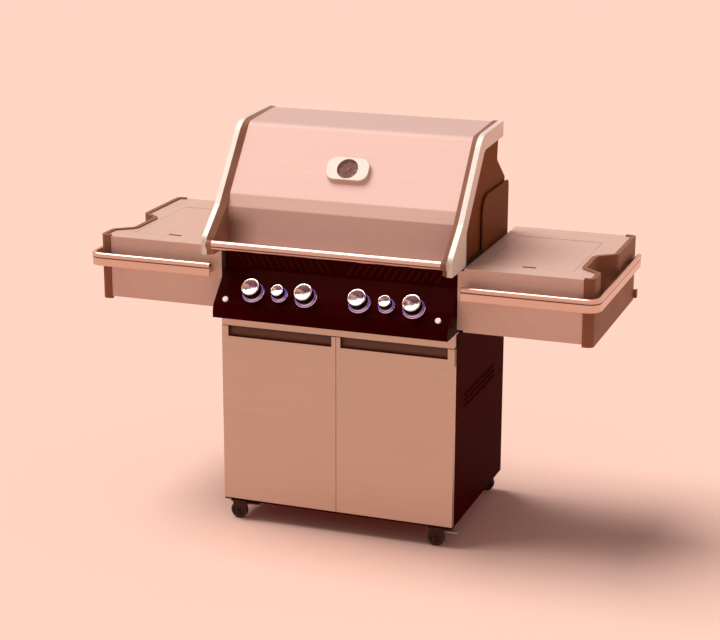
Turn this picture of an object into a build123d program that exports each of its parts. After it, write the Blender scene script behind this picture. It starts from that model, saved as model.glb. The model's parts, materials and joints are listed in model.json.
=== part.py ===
from build123d import *
import os
from math import cos, radians, sin, tan

# Gas barbecue grill on a closed cart, in millimetres.
# +Z is up, the front of the grill faces -Y, and the origin is on the floor under the middle of
# the whole grill. Depths inside the grill are counted back from the door face with back(d).

# ---- Overall and shared sizes -------------------------------------------------------------
width = 1680.0              # over the two shelf rails
depth = 710.0               # front of the lid handle to the back of the shelves
sheet = 2.0                 # folded steel sheet
plate = 3.0                 # flat steel plate
touch = 0.3                 # gap between curved or tilted pieces that sit on each other
running = 0.05              # radial gap of a pin in its bore
slide_gap = 0.3             # gap of a piece that slides or swings past another
bite = 1.0                  # how far pieces of one solid reach into each other
fold_r = 3.0                # outer bend radius of folded sheet

# ---- Lid -----------------------------------------------------------------------------------
lid_outer = 407.0           # half width over the castings
casting_w = 35.0            # width of a casting, outside the lid sheet
lid_sheet = 2.5
lid_bottom_z = 912.0        # lower edge of the lid's front sheet
lid_front_d = 32.0          # upright lower front of the lid, behind the door face
lid_band_z = 1044.0         # top of the upright lower front
lid_band_h = 38.0           # height of the narrow band above it
lid_band_d = 14.0           # how far that band leans back
lid_face_tilt = 39.4        # main face, degrees from upright
lid_top_z = 1296.0          # top sheet at its back edge
lid_top_fall = 3.4          # top sheet, degrees of fall towards the front
lid_top_d = 428.0           # back edge of the top sheet
lid_crease_r = 35.0         # bend between main face and top sheet
lid_back_lean = 8.0         # the back leans in by this much
lid_back_drop = 123.0       # upright part of the lid's back
lid_skirt_run = 95.0        # sloping skirt behind it, horizontally
lid_skirt_drop = 73.0       # and vertically
lid_bend_r = 12.0           # smaller bends of the lid sheet
lid_plate_in = 19.0         # side plates inside the castings' outer faces
lid_plate_low = 40.0        # the side plates end this far below the pivot at the back

casting_proud = 14.0        # rim of the castings above the lid's main face
casting_top_z = 1297.0      # rim at its back end
casting_fall = 2.0          # rim along the top, degrees of fall towards the front
casting_deep = 49.0         # depth of a casting behind its rim
casting_flat = 17.0         # flat part of the rim
casting_bottom_z = 915.0
casting_front_d = -100.0    # front of the castings' feet
casting_foot_z = 968.0      # top of the upright front of the feet
casting_sweep = (6.0, 1053.0)   # where the sweep of the feet meets the rim: depth, height
casting_foot_d = 40.0       # back of the feet
casting_bend_r = 12.0
casting_foot_r = 30.0       # bend at the front of the feet
casting_crown_r = 90.0      # bend at the top of the castings

handle_r = 14.5
handle_d = -95.0            # tube axis in front of the door face
handle_wall = 2.0
handle_z = 948.0

pivot_d = 386.0             # lid pivot behind the door face
pivot_z = 968.0
pivot_r = 6.0
pivot_head_r = 11.0
cowl_front_d = 241.0        # side cowls around the pivot
cowl_back_d = 534.0
cowl_top_z = 1088.0
cowl_front_r = 57.0         # upper corners of the cowls
cowl_back_r = 16.0
cowl_in = 12.0              # cowls inside the castings' outer faces
cowl_t = 5.0
cowl_below = 25.0           # the wide part ends this far below the castings
pivot_head_t = 4.0
cowl_foot_z = 755.0
cowl_foot_w = 90.0
cowl_foot_h = 22.0

# ---- Thermometer on the lid's main face -----------------------------------------------------
gauge_z = 1167.0
gauge_w = 140.0
gauge_h = 79.0
gauge_t = 14.0
gauge_corner_r = 30.0
gauge_r = 34.0              # recess for the dial
dial_t = 6.0
needle_len = 26.0
needle_lift = 7.4
needle_t = 0.8
needle_w = 2.8
needle_tail = 11.0
needle_pin_r = 1.2
needle_hub_r = 3.6
needle_zero = 45.0          # degrees below level, at the cold end
glass_t = 1.5
glass_in = 1.0              # glass below the front of the bezel
gauge_edge = 1.5            # chamfer around the bezel

# ---- Cart ----------------------------------------------------------------------------------
cart_in = 19.0              # cart's sides inside the castings' outer faces
cart_depth = 565.0          # door face to the back panel
floor_z = 69.0              # underside of the cabinet floor
floor_front_d = 2.0         # the floor reaches forward under the doors
door_t = 20.0
door_bottom_z = 75.0
door_top_z = 661.0
door_gap = 1.5              # between the two doors
pull_z = 627.0              # lower edge of the finger pull
pull_under = 22.0           # how far the pull reaches down behind the door skin
pull_side = 22.0            # solid end of the pull at the hinge side
pull_mid = 14.0             # solid end of the pull at the middle
pull_depth = 15.0
door_pin_r = 4.0
door_pin_in = 10.0          # pin axis from the door's outer edge
door_block = 18.0           # corner block that holds a pin
header_gap = 2.0            # above the doors
header_top_z = 706.0
header_proud = 3.0
header_lip = 16.0           # depth of the header's flanges
panel_front_d = 26.0        # front edge of the side panels
panel_top_z = 700.0
side_sheet = 2.5
side_flange = 20.0
back_top_z = 650.0
back_vent_w = 312.0         # vent slots in the back panel
back_vent_z = 325.0
back_vent_rows = 5
louvre_w = 52.0
louvre_h = 6.0
louvre_pitch_y = 67.0
louvre_pitch_z = 19.0
louvre_z = 478.0
louvre_d = 150.0            # centre of the first louvre behind the door face
louvre_columns = 5
louvre_rows = 3

# ---- Casters -------------------------------------------------------------------------------
wheel_r = 28.0
wheel_w = 20.0
axle_r = 4.0
hub_r = 14.5                # recessed hub of a wheel
hub_in = 1.0
tyre_edge_r = 3.0
wheel_side_gap = 1.5        # between wheel and fork
wheel_top_gap = 2.0
trail = 8.0                 # wheel centre to the side of the swivel axis
caster_in = 50.0            # swivel axes from the cart's sides
caster_front_d = 24.0
caster_back_d = 537.0
caster_plate = 56.0
stem_r = 5.0
race_r = 24.0               # bearing race between plate and fork
fork_t = 2.5
crown_r = 23.0
pedal_len = 46.0
pedal_w = 24.0
pedal_pin_r = 2.5
pedal_pin_x = 18.0          # pedal pin from the swivel axis
pedal_drop = 6.0            # pedal pin below the fork's crown
fork_leg_half = 9.0         # half width of a fork leg at the axle

# ---- Control panel and gas -----------------------------------------------------------------
panel_in = 2.0              # ends of the control panel inside the cart's sides
panel_nose_d = -73.0        # front of the control panel
panel_nose_z = 742.0        # corner between the slanted face and the upright nose
panel_nose_r = 45.0
panel_crest_z = 905.0       # top of the control panel
knob_tilt = 45.0            # slanted face, degrees
knob_up = 63.6              # knob centres up the slanted face from the nose corner
knob_pitch = 88.3           # between neighbouring knobs, counted from the middle
bezel_slope = 5.0           # a bezel is this much narrower at its front
knob_taper = 1.5
knob_edge_r = 2.5
knob_dish = 1.5             # depth of the dished face
knob_dish_share = 0.66      # dish radius over knob radius
pointer_w = 2.4
stem_grip = 8.0             # solid front of a knob beyond its bore
stem_hole_r = 7.5           # hole for a stem in panel and bezel
big_bezel_r = 36.0
small_bezel_r = 27.0
bezel_h = 9.0
big_knob_r = 30.5
small_knob_r = 21.5
big_knob_h = 29.0
small_knob_h = 24.0
stem_pin_r = 3.0
button_in = 36.0            # from the ends of the control panel
button_up = 29.5
button_r = 9.0
button_proud = 5.0
button_shank = 12.0
button_collar = 2.0
button_edge_r = 1.0
manifold_r = 11.0
manifold_d = 28.0
inlet_r = 7.9               # male gas inlet
inlet_pipe_r = 7.0
inlet_in = 36.0             # from the cart's side
inlet_z = 610.0
inlet_len = 24.0
inlet_bend_r = 30.0
inlet_flange_r = 23.7
inlet_bore_r = 4.0
valve_r = 13.0

# ---- Firebox and what it holds -------------------------------------------------------------
box_in = 10.0               # firebox inside the cart's sides
box_front_d = 60.0
box_back_d = 500.0
box_bottom_z = 686.0
box_top_z = 905.0
box_wall = 4.0
burner_r = 18.0
burner_neck_r = 12.0
burner_wall = 2.0
burner_neck = 12.0          # neck in front of the firebox
burner_z = 800.0
heat_plate_z = 835.0
heat_plate_w = 110.0
heat_plate_h = 26.0
grate_z = 880.0             # centre of the grate rods
grate_rod_r = 4.5
grate_rods = 15
grate_gap = 6.0
grate_play = 2.0            # around the grates
grate_bar_r = 3.5
ledge = 14.0
burner_ledge = 28.0
tray_way_gap = 5.0          # around the tray in the firebox's rear wall
rear_burner_half = 220.0
rear_burner_z = 935.0
rear_burner_h = 72.0
rear_burner_t = 22.0
rear_burner_rim = 10.0
rear_burner_in = 6.0
baffle_low = 45.0           # the baffle starts this far below the firebox's top
baffle_vents = 9
baffle_top_z = 1085.0
rack_z = 1016.0
rack_front_d = 330.0
rack_back_d = 475.0
rack_r = 2.0
rack_side_r = 3.0
rack_leg_in = 20.0          # legs from the rack's ends
rack_rods = 12
tray_in = 48.0              # tray inside the firebox's sides
tray_top_z = 691.3
tray_bottom_z = 655.0
tray_flange = 15.0
tray_ledge_in = 5.0         # between tray and firebox ledge
tray_grip_half = 60.0
tray_grip_z = 669.0
tray_grip_h = 12.0
tray_grip_out = 20.0

# ---- Side shelves --------------------------------------------------------------------------
shelf_front_d = 12.0
shelf_off = 3.0             # shelves outside the castings
shelf_top_z = 916.0
shelf_bottom_z = 716.0
fascia_reach = 20.0         # the front fascia reaches further in, beside the control panel
fascia_top_z = 908.0
cap_lip = 4.0               # the end cap stands above the shelf
cap_low = 8.0               # and reaches below it
cap_wall = 15.0
cap_front_w = 34.0          # end cap seen from the front
cap_proud = 3.0
scoop_gap = 8.7             # between the hand scoop's wall and the cover's frame
scoop_front_d = 140.0
scoop_back_d = 285.0
scoop_run = 46.0            # sloping ends of the scoop
scoop_r = 24.0
scoop_floor_z = 800.0
tab_out = 10.0              # tab at the lower rear of an end cap
tab_w = 18.0
tab_h = 26.0
tab_up = 6.0                # above the cap's lower edge
arm_front_d = 90.0          # mounting boxes between shelf and firebox
arm_back_d = 450.0
arm_w = 40.0
arm_up = 14.0               # above the lower edge of the shelf
fascia_up = 6.0             # fascia strip above the lower edge of the shelf
cover_off = 42.0            # covers from the inner end of the shelves
cover_margin = 86.0         # and from the outer end of the end caps
cover_front_d = 92.0
cover_back_d = 475.0
cover_gap = 1.0
cover_t = 11.0
cover_pin_r = 3.0
cover_hinge_in = 6.5
cover_boss = 10.0           # blocks that hold the hinge pins
hinge_space = 4.0           # free space behind a cover
notch_w = 42.0
notch_d = 12.0
pan_depth = 66.0
pan_in = 4.0                # pan inside the outline of its cover
pan_back_in = 20.0          # and at the hinge
pan_rim = 7.0
side_grate_in = 25.0        # side burner's grate inside its pan
side_grate_low = 8.0        # its top below the underside of the cover
side_bar = 8.0
side_head_r = 46.0          # burner head
side_head_h = 22.0
side_cap_in = 8.0           # burner cap inside the head
side_cap_h = 8.0
rail_out = 26.0             # rails outside the end caps
rail_front_d = -35.0
rail_back_d = 562.0
rail_off = 3.0              # rails from the inner end of the shelves
rail_bead_r = 8.0
rail_band_t = 7.0
rail_top_z = 869.0
rail_bottom_z = 827.0
rail_corner_r = 34.0
bracket_w = 18.0
bracket_h = 20.0
bracket_up = 5.0            # above the rail's lower edge
bracket_in = 8.0            # from the rail's inner end
bracket_out = 22.0          # from the end cap
bracket_back = 9.0          # from the rail's back end

# ---- Places worked out from the sizes above --------------------------------------------------
door_y = -depth / 2 + handle_r - handle_d
rear_y = depth / 2
lid_inner = lid_outer - casting_w
lid_plate_x = lid_outer - lid_plate_in
cowl_x = lid_outer - cowl_in
cart_half = lid_outer - cart_in
panel_half = cart_half - panel_in
box_half = cart_half - box_in
tray_half = box_half - tray_in
caster_x = cart_half - caster_in
button_x = panel_half - button_in
inlet_x = cart_half - inlet_in
rail_half = width / 2
shelf_inner = lid_outer + shelf_off
shelf_outer = rail_half - rail_out
fascia_inner = shelf_inner - fascia_reach
rail_inner = shelf_inner + rail_off
cover_inner = shelf_inner + cover_off
cover_outer = shelf_outer - cover_margin


def back(distance):
    """Y of a place that lies this far behind the door face."""
    return door_y + distance


# ---- Drawing helpers -------------------------------------------------------------------------
standing = (Align.CENTER, Align.CENTER, Align.MIN)


def block(x, y, z):
    """Block between the two limits given along each axis."""
    size = [high - low for low, high in (x, y, z)]
    return Pos(x[0], y[0], z[0]) * Box(*size, align=(Align.MIN, Align.MIN, Align.MIN))


def rod(start, end, radius):
    """Round bar between two points."""
    axis = Vector(*end) - Vector(*start)
    return extrude(Plane(origin=start, z_dir=axis) * Circle(radius), amount=axis.length)


def pipe(points, radius, bend):
    """Round bar that follows a line with rounded corners."""
    path = FilletPolyline(*points, radius=bend)
    return sweep(Plane(origin=path @ 0, z_dir=path % 0) * Circle(radius), path=path)


def mirrored(piece):
    """The same piece on the other side of the grill."""
    return mirror(piece, about=Plane.YZ)


def pair(piece):
    """A piece and its mirror image."""
    return Compound([*piece.solids(), *mirrored(piece).solids()])


def closed_face(points, radii=0.0):
    """Flat outline through corner points, rounded where a radius is given."""
    if isinstance(radii, (int, float)):
        radii = [radii] * len(points)
    return make_face(FilletPolyline(*points, radius=radii, close=True).edges())


def side_points(points):
    """Turn (depth, height) pairs into (Y, Z) pairs."""
    return [(back(distance), height) for distance, height in points]


def along_x(face, low, high):
    """Extrude an outline drawn in Y and Z between two places along X."""
    return extrude(Plane.YZ.offset(low) * face, amount=high - low)


def offset_run(points, distance):
    """Shift an open run of corners to its left, or to its right if the distance is negative."""
    corners = [Vector(*point) for point in points]
    steps = [(b - a).normalized() for a, b in zip(corners, corners[1:])]
    shifted = []
    for index, corner in enumerate(corners):
        before = steps[max(index - 1, 0)].rotate(Axis.Z, 90)
        after = steps[min(index, len(steps) - 1)].rotate(Axis.Z, 90)
        middle = (before + after).normalized()
        moved = corner + middle * (distance / middle.dot(before))
        shifted.append((moved.X, moved.Y))
    return shifted


def offset_radii(points, radii, distance):
    """Bend radii of a run after offset_run."""
    corners = [Vector(*point) for point in points]
    changed = []
    for radius, a, b, c in zip(radii, corners, corners[1:], corners[2:]):
        left_turn = (b - a).cross(c - b).Z > 0
        changed.append(radius - distance if left_turn else radius + distance)
    return changed


def bent_sheet(points, radii, thickness):
    """Section of a folded sheet with its thickness to the left of the run, or right if negative."""
    inner = offset_run(points, thickness)
    one_side = FilletPolyline(*points, radius=radii)
    other_side = FilletPolyline(*inner, radius=offset_radii(points, radii, thickness))
    ends = [Line(one_side @ 0, other_side @ 0), Line(one_side @ 1, other_side @ 1)]
    return make_face([*one_side.edges(), *other_side.edges(), *[end.edge() for end in ends]])


def meeting_point(start, angle, other, other_angle):
    """Where two lines cross, each given by a point and its angle in degrees."""
    one = Vector(1, 0).rotate(Axis.Z, angle)
    two = Vector(1, 0).rotate(Axis.Z, other_angle)
    apart = Vector(*other) - Vector(*start)
    crossing = Vector(*start) + one * (apart.cross(two).Z / one.cross(two).Z)
    return (crossing.X, crossing.Y)


def hollow_pan(x, y, top, bottom, rim):
    """Sheet pan with a flange around its mouth, x and y being the inside of the flange."""
    body = block(x, y, (bottom, top)) - block(
        (x[0] + sheet, x[1] - sheet), (y[0] + sheet, y[1] - sheet), (bottom + sheet, top + sheet)
    )
    flange_y = (y[0] - rim, y[1] + sheet)
    flange = block((x[0] - rim, x[1] + rim), flange_y, (top - sheet, top))
    flange -= block((x[0] + sheet, x[1] - sheet), (y[0] + sheet, y[1] - sheet), (top - sheet, top))
    return body + flange


# ---- Cart ------------------------------------------------------------------------------------
pin_x = cart_half - door_pin_in
pin_y = back(door_t / 2)
pin_hole = door_pin_r + running
side_inner = cart_half - side_sheet
header_bottom_z = door_top_z + header_gap


def make_floor():
    """Cabinet floor with the lower pivot holes of the doors."""
    floor_y = (back(floor_front_d), back(cart_depth))
    floor = block((-cart_half, cart_half), floor_y, (floor_z, floor_z + plate))
    holes = pair(Pos(pin_x, pin_y, floor_z + plate / 2) * Cylinder(pin_hole, 3 * plate))
    return floor - holes


def make_side_panel():
    """Right side panel with its flanges and rows of louvre slots."""
    wall_y = (back(panel_front_d), back(cart_depth))
    panel = block((side_inner, cart_half), wall_y, (floor_z + plate, panel_top_z))
    front = (back(panel_front_d), back(panel_front_d + side_sheet))
    panel += block((side_inner - side_flange, side_inner), front, (floor_z + plate, door_top_z))
    shelf_x = (cart_half - 2 * side_flange, side_inner)
    shelf_y = (back(box_front_d), back(box_back_d))
    panel += block(shelf_x, shelf_y, (box_bottom_z - side_sheet, box_bottom_z))
    slot = Box(4 * side_sheet, louvre_w, louvre_h)
    for row in range(louvre_rows):
        for column in range(louvre_columns):
            place_y = back(louvre_d + column * louvre_pitch_y)
            panel -= Pos(cart_half, place_y, louvre_z - row * louvre_pitch_z) * slot
    return panel


def make_back_panel():
    """Back panel below the drip tray, with the hole for the gas inlet."""
    panel = block(
        (-side_inner, side_inner),
        (back(cart_depth - side_sheet), back(cart_depth)),
        (floor_z + plate, back_top_z),
    )
    hole = Pos(inlet_x, back(cart_depth), inlet_z) * Rot(90, 0, 0) * Cylinder(2 * inlet_pipe_r, 4 * plate)
    for row in range(back_vent_rows):
        height = back_vent_z + row * louvre_pitch_z
        panel -= Pos(0, back(cart_depth), height) * Box(back_vent_w, 4 * plate, louvre_h)
    return panel - hole


def make_header():
    """Folded rail above the doors, with their upper pivot holes."""
    run = [
        (header_lip, header_bottom_z), (-header_proud, header_bottom_z),
        (-header_proud, header_top_z), (header_lip, header_top_z),
    ]
    face = bent_sheet(side_points(run), [fold_r, fold_r], -sheet)
    rail = along_x(face, -panel_half, panel_half)
    tab_y = (back(-header_proud + 2 * sheet), back(panel_front_d + side_flange))
    tab = block((side_inner - sheet, side_inner), tab_y, (header_bottom_z, header_top_z))
    rail = rail + tab + mirrored(tab)
    return rail - pair(Pos(pin_x, pin_y, header_bottom_z) * Cylinder(pin_hole, 6 * sheet))


def make_door():
    """Left door: a sheet pan with a recessed finger pull and two pivot pins."""
    outer_x, inner_x = -cart_half, -door_gap / 2
    door = block((outer_x, inner_x), (back(0), back(door_t)), (door_bottom_z, door_top_z))
    door -= block(
        (outer_x + sheet, inner_x - sheet),
        (back(sheet), back(door_t + sheet)),
        (door_bottom_z + sheet, door_top_z - sheet),
    )
    pocket_z = pull_z - pull_under
    door += block(
        (outer_x, inner_x), (back(0), back(pull_depth + sheet)), (pocket_z - sheet, door_top_z)
    )
    pocket_x = (outer_x + pull_side, inner_x - pull_mid)
    above = door_top_z + sheet
    door -= block(pocket_x, (back(sheet), back(pull_depth)), (pocket_z, above))
    door -= block(pocket_x, (back(-sheet), back(sheet)), (pull_z, above))
    door += block(
        (outer_x, outer_x + door_block), (back(0), back(door_block)),
        (door_bottom_z, door_bottom_z + door_block),
    )
    low_pin = rod((-pin_x, pin_y, door_bottom_z + bite), (-pin_x, pin_y, floor_z + bite), door_pin_r)
    high_end = header_bottom_z + sheet + bite
    high_pin = rod((-pin_x, pin_y, door_top_z - bite), (-pin_x, pin_y, high_end), door_pin_r)
    return door + low_pin + high_pin


# ---- Casters ---------------------------------------------------------------------------------
axle_z = wheel_r
crown_bottom = 2 * wheel_r + wheel_top_gap
crown_top = crown_bottom + plate
race_top = floor_z - plate
leg_in = wheel_w / 2 + wheel_side_gap
leg_out = leg_in + fork_t
crown_front_x = -trail - crown_r + plate
pedal_z = crown_bottom - pedal_drop
caster_places = {
    "front_left": (-caster_x, back(caster_front_d)),
    "front_right": (caster_x, back(caster_front_d)),
    "back_left": (-caster_x, back(caster_back_d)),
    "back_right": (caster_x, back(caster_back_d)),
}


def make_caster_plates():
    """Mounting plate, bearing race and swivel stem of each caster."""
    solids = []
    for x, y in caster_places.values():
        mount = Pos(x, y, floor_z - plate / 2) * Box(caster_plate, caster_plate, plate)
        mount += rod((x, y, crown_top + touch), (x, y, race_top), race_r)
        mount += rod((x, y, crown_bottom + touch), (x, y, race_top), stem_r)
        solids += mount.solids()
    return Compound(solids)


def make_fork(with_pedal):
    """Caster fork at the swivel axis, its axle to the side."""
    crown = Pos(0, 0, crown_bottom + plate / 2) * Cylinder(crown_r, plate)
    crown += block((crown_front_x, 0), (-leg_out, leg_out), (crown_bottom, crown_top))
    crown -= Pos(0, 0, crown_bottom) * Cylinder(stem_r + running, 4 * plate)
    pin_side = pedal_pin_x + 2 * pedal_pin_r
    leg_points = [
        (crown_front_x, crown_top), (pin_side, crown_top), (pin_side, pedal_z - 2 * pedal_pin_r),
        (-trail + fork_leg_half, axle_z - axle_r), (-trail - fork_leg_half, axle_z - axle_r),
    ]
    leg_radii = [0, 0, pedal_pin_r, axle_r, axle_r]
    leg = extrude(Plane.XZ.offset(leg_in) * closed_face(leg_points, leg_radii), amount=fork_t)
    fork = crown + leg + mirror(leg, about=Plane.XZ)
    fork += rod((-trail, -leg_out, axle_z), (-trail, leg_out, axle_z), axle_r)
    if with_pedal:
        fork += rod((pedal_pin_x, -leg_out, pedal_z), (pedal_pin_x, leg_out, pedal_z), pedal_pin_r)
    return fork


def make_wheel():
    """Wheel at the swivel axis of its caster."""
    tyre = fillet(Cylinder(wheel_r, wheel_w).edges().filter_by(GeomType.CIRCLE), tyre_edge_r)
    hub = Cylinder(hub_r, 2 * hub_in)
    tyre = tyre - Pos(0, 0, wheel_w / 2) * hub - Pos(0, 0, -wheel_w / 2) * hub
    tyre -= Cylinder(axle_r + running, 2 * wheel_w)
    return Pos(-trail, 0, axle_z) * Rot(90, 0, 0) * tyre


def make_pedal():
    """Brake pedal of a front caster."""
    eye_r = 2 * pedal_pin_r
    half = leg_in - touch
    pin = ((pedal_pin_x, -half, pedal_z), (pedal_pin_x, half, pedal_z))
    tip = pedal_pin_x + pedal_len
    pedal = rod(*pin, eye_r)
    pedal += block((pedal_pin_x, tip), (-half, half), (pedal_z, pedal_z + plate))
    pad_x = (pedal_pin_x + pedal_len / 3, tip)
    pad_z = (pedal_z - bite, pedal_z + plate + bite)
    pedal += block(pad_x, (-pedal_w / 2, pedal_w / 2), pad_z)
    return pedal - rod(*pin, pedal_pin_r + running)


# ---- Lid -------------------------------------------------------------------------------------
face_angle = 90 - lid_face_tilt
lid_bottom = (lid_front_d, lid_bottom_z)
lid_band = (lid_front_d, lid_band_z)
lid_face_low = (lid_front_d + lid_band_d, lid_band_z + lid_band_h)
lid_top_back = (lid_top_d, lid_top_z)
lid_crown = meeting_point(lid_face_low, face_angle, lid_top_back, lid_top_fall)
lid_back_low = (lid_top_d - lid_back_lean, lid_top_z - lid_back_drop)
lid_skirt_end = (lid_back_low[0] + lid_skirt_run, lid_back_low[1] - lid_skirt_drop)

rim_start = offset_run([lid_face_low, lid_crown], casting_proud)[0]
rim_end = (lid_top_d, casting_top_z)
rim_crown = meeting_point(rim_start, face_angle, rim_end, casting_fall)
rim_meet = meeting_point(rim_start, face_angle, casting_sweep, 0)
rim_run = [
    (casting_front_d, casting_bottom_z), (casting_front_d, casting_foot_z),
    rim_meet, rim_crown, rim_end,
]
rim_radii = [casting_foot_r, casting_foot_r, casting_crown_r]
deep_start, deep_crown, deep_end = offset_run([rim_start, rim_crown, rim_end], -casting_deep)
foot_top = meeting_point(deep_start, face_angle, (casting_foot_d, 0), 90)
deep_r = casting_crown_r - casting_deep


def casting_outline(front, front_radii):
    """Side outline of a casting from its front line, over the foot and back along the rim."""
    rear = [deep_end, deep_crown, foot_top, (casting_foot_d, casting_bottom_z)]
    radii = [0, *front_radii, 0, 0, deep_r, casting_bend_r, 0]
    return closed_face(side_points([*front, *rear]), radii)


def make_casting():
    """Right lid casting: flat rim, inner face slanted down to the sheet, seat of the handle."""
    slant_x = lid_outer - casting_flat
    outer = casting_outline(rim_run, rim_radii)
    foot = offset_run(rim_run, -casting_proud)[:3]
    foot_radii = offset_radii(rim_run, rim_radii, -casting_proud)[:2]
    inner = casting_outline([*foot, lid_crown, lid_top_back], [*foot_radii, lid_crease_r])
    casting = along_x(outer, slant_x, lid_outer)
    casting += loft([Plane.YZ.offset(lid_inner) * inner, Plane.YZ.offset(slant_x) * outer], ruled=True)
    handle_y = back(handle_d)
    casting += rod((lid_inner, handle_y, handle_z), (slant_x + bite, handle_y, handle_z), handle_r)
    wall = box_wall
    hollow_run = offset_run([rim_start, rim_crown, rim_end], -casting_proud - wall)
    hollow_run[-1] = meeting_point(hollow_run[-1], casting_fall + 180, (lid_top_d - 3 * wall, 0), 90)
    hollow_r = [casting_crown_r - casting_proud - wall]
    thickness = casting_deep - casting_proud - 2 * wall
    hollow = bent_sheet(side_points(hollow_run), hollow_r, -thickness)
    return casting - along_x(hollow, lid_inner - bite, lid_outer - wall)


def make_lid_shell():
    """Lid sheet from its front edge over the top and down the back."""
    run = [lid_bottom, lid_band, lid_face_low, lid_crown, lid_top_back, lid_back_low, lid_skirt_end]
    radii = [lid_bend_r, lid_bend_r, lid_crease_r, lid_bend_r, lid_bend_r]
    shell = along_x(bent_sheet(side_points(run), radii, -lid_sheet), -lid_inner, lid_inner)
    drop = lid_top_z - deep_end[1] + plate
    upper = (lid_top_d - lid_back_lean * drop / lid_back_drop, lid_top_z - drop)
    wide = bent_sheet(side_points([upper, lid_back_low, lid_skirt_end]), [lid_bend_r], -lid_sheet)
    wide_half = lid_plate_x - touch
    return shell + along_x(wide, -wide_half, wide_half)


def make_lid_plate():
    """Right inner side plate of the lid, with the bore that turns on the pivot pin."""
    low_back = (lid_skirt_end[0], pivot_z - lid_plate_low)
    points = [
        (casting_foot_d, casting_bottom_z), foot_top, deep_crown, deep_end,
        (deep_end[0], deep_end[1] - plate), lid_back_low, lid_skirt_end, low_back,
        (low_back[0] - lid_plate_low / 2, casting_bottom_z),
    ]
    radii = [0, casting_bend_r, deep_r, 0, 0, lid_bend_r, plate, lid_bend_r / 2, lid_bend_r / 2]
    face = closed_face(side_points(points), radii)
    bore = Pos(back(pivot_d), pivot_z) * Circle(pivot_r + running)
    return along_x(face - bore, lid_plate_x, lid_plate_x + plate)


def make_cowl():
    """Right side cowl with the fixed pivot pin of the lid."""
    base_z = casting_bottom_z - cowl_below
    corners = [
        (cowl_front_d, base_z), (cowl_front_d, cowl_top_z), (cowl_back_d, cowl_top_z),
        (cowl_back_d, base_z),
    ]
    face = closed_face(side_points(corners), [0, cowl_front_r, cowl_back_r, 0])
    leg_y = (back(pivot_d - cowl_foot_w / 2), back(pivot_d + cowl_foot_w / 2))
    cowl = along_x(face, cowl_x, cowl_x + cowl_t)
    cowl += block((cowl_x, cowl_x + cowl_t), leg_y, (cowl_foot_z, base_z + bite))
    cowl += block((box_half, cowl_x), leg_y, (cowl_foot_z, cowl_foot_z + cowl_foot_h))
    centre = (back(pivot_d), pivot_z)
    head_x = lid_plate_x - touch
    cowl += rod((head_x, *centre), (cowl_x + bite, *centre), pivot_r)
    cowl += rod((head_x - pivot_head_t, *centre), (head_x, *centre), pivot_head_r)
    return cowl


def make_handle():
    """Tube handle between the two castings."""
    start, end = (-lid_inner, back(handle_d), handle_z), (lid_inner, back(handle_d), handle_z)
    return rod(start, end, handle_r) - rod(start, end, handle_r - handle_wall)


# ---- Thermometer -----------------------------------------------------------------------------
def on_lid(out=0.0):
    """Work plane on the lid's main face, centred on the thermometer and lifted off the face."""
    tilt = radians(lid_face_tilt)
    along = (gauge_z - lid_face_low[1]) * tan(tilt)
    distance = lid_face_low[0] + along
    origin = (0, back(distance - out * cos(tilt)), gauge_z + out * sin(tilt))
    return Plane(origin=origin, x_dir=(1, 0, 0), z_dir=(0, -cos(tilt), sin(tilt)))


def make_gauge_bezel():
    """Rounded plate with a round window for the dial."""
    face = RectangleRounded(gauge_w, gauge_h, gauge_corner_r) - Circle(gauge_r)
    bezel = extrude(face, amount=gauge_t)
    outer = bezel.faces().sort_by(Axis.Z)[-1].outer_wire().edges()
    return on_lid() * chamfer(outer, gauge_edge)


def make_gauge_dial():
    """Dial disc with the axle of the needle."""
    dial = extrude(Circle(gauge_r - touch), amount=dial_t)
    dial += extrude(Circle(needle_pin_r), amount=needle_lift + 2 * needle_t)
    return on_lid() * dial


def make_needle():
    """Needle pointing to the cold end of the scale."""
    half = needle_w / 2
    blade = Polygon((0, half), (-needle_len, 0), (0, -half), align=None)
    tail = Pos(needle_tail / 2, 0) * Rectangle(needle_tail, needle_w)
    flat = Circle(needle_hub_r) + blade + tail - Circle(needle_pin_r + running)
    return on_lid(needle_lift) * extrude(Rot(0, 0, needle_zero) * flat, amount=needle_t)


def make_glass():
    """Flat glass over the dial."""
    return on_lid(gauge_t - glass_in - glass_t) * extrude(Circle(gauge_r - touch), amount=glass_t)


# ---- Control panel and gas -------------------------------------------------------------------
panel_top_d = lid_front_d
panel_kink_z = panel_nose_z + (panel_top_d - panel_nose_d) * tan(radians(knob_tilt))
panel_run = [
    (header_lip, header_top_z), (panel_nose_d, header_top_z), (panel_nose_d, panel_nose_z),
    (panel_top_d, panel_kink_z), (panel_top_d, panel_crest_z), (box_front_d, panel_crest_z),
]
panel_radii = [fold_r, panel_nose_r, 2 * fold_r, fold_r]
manifold_in = manifold_d - panel_nose_d - knob_up * cos(radians(knob_tilt))
manifold_out = -manifold_in / sin(radians(knob_tilt))
knob_list = [
    (side * count * knob_pitch, count != 2) for side in (-1, 1) for count in (1, 2, 3)
]
knob_list.sort()


def on_panel(x, up, out=0.0):
    """Work plane on the slanted face of the control panel, lifted off the face."""
    tilt = radians(knob_tilt)
    distance = panel_nose_d + up * cos(tilt) - out * sin(tilt)
    height = panel_nose_z + up * sin(tilt) + out * cos(tilt)
    return Plane(origin=(x, back(distance), height), x_dir=(1, 0, 0), z_dir=(0, -sin(tilt), cos(tilt)))


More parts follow.
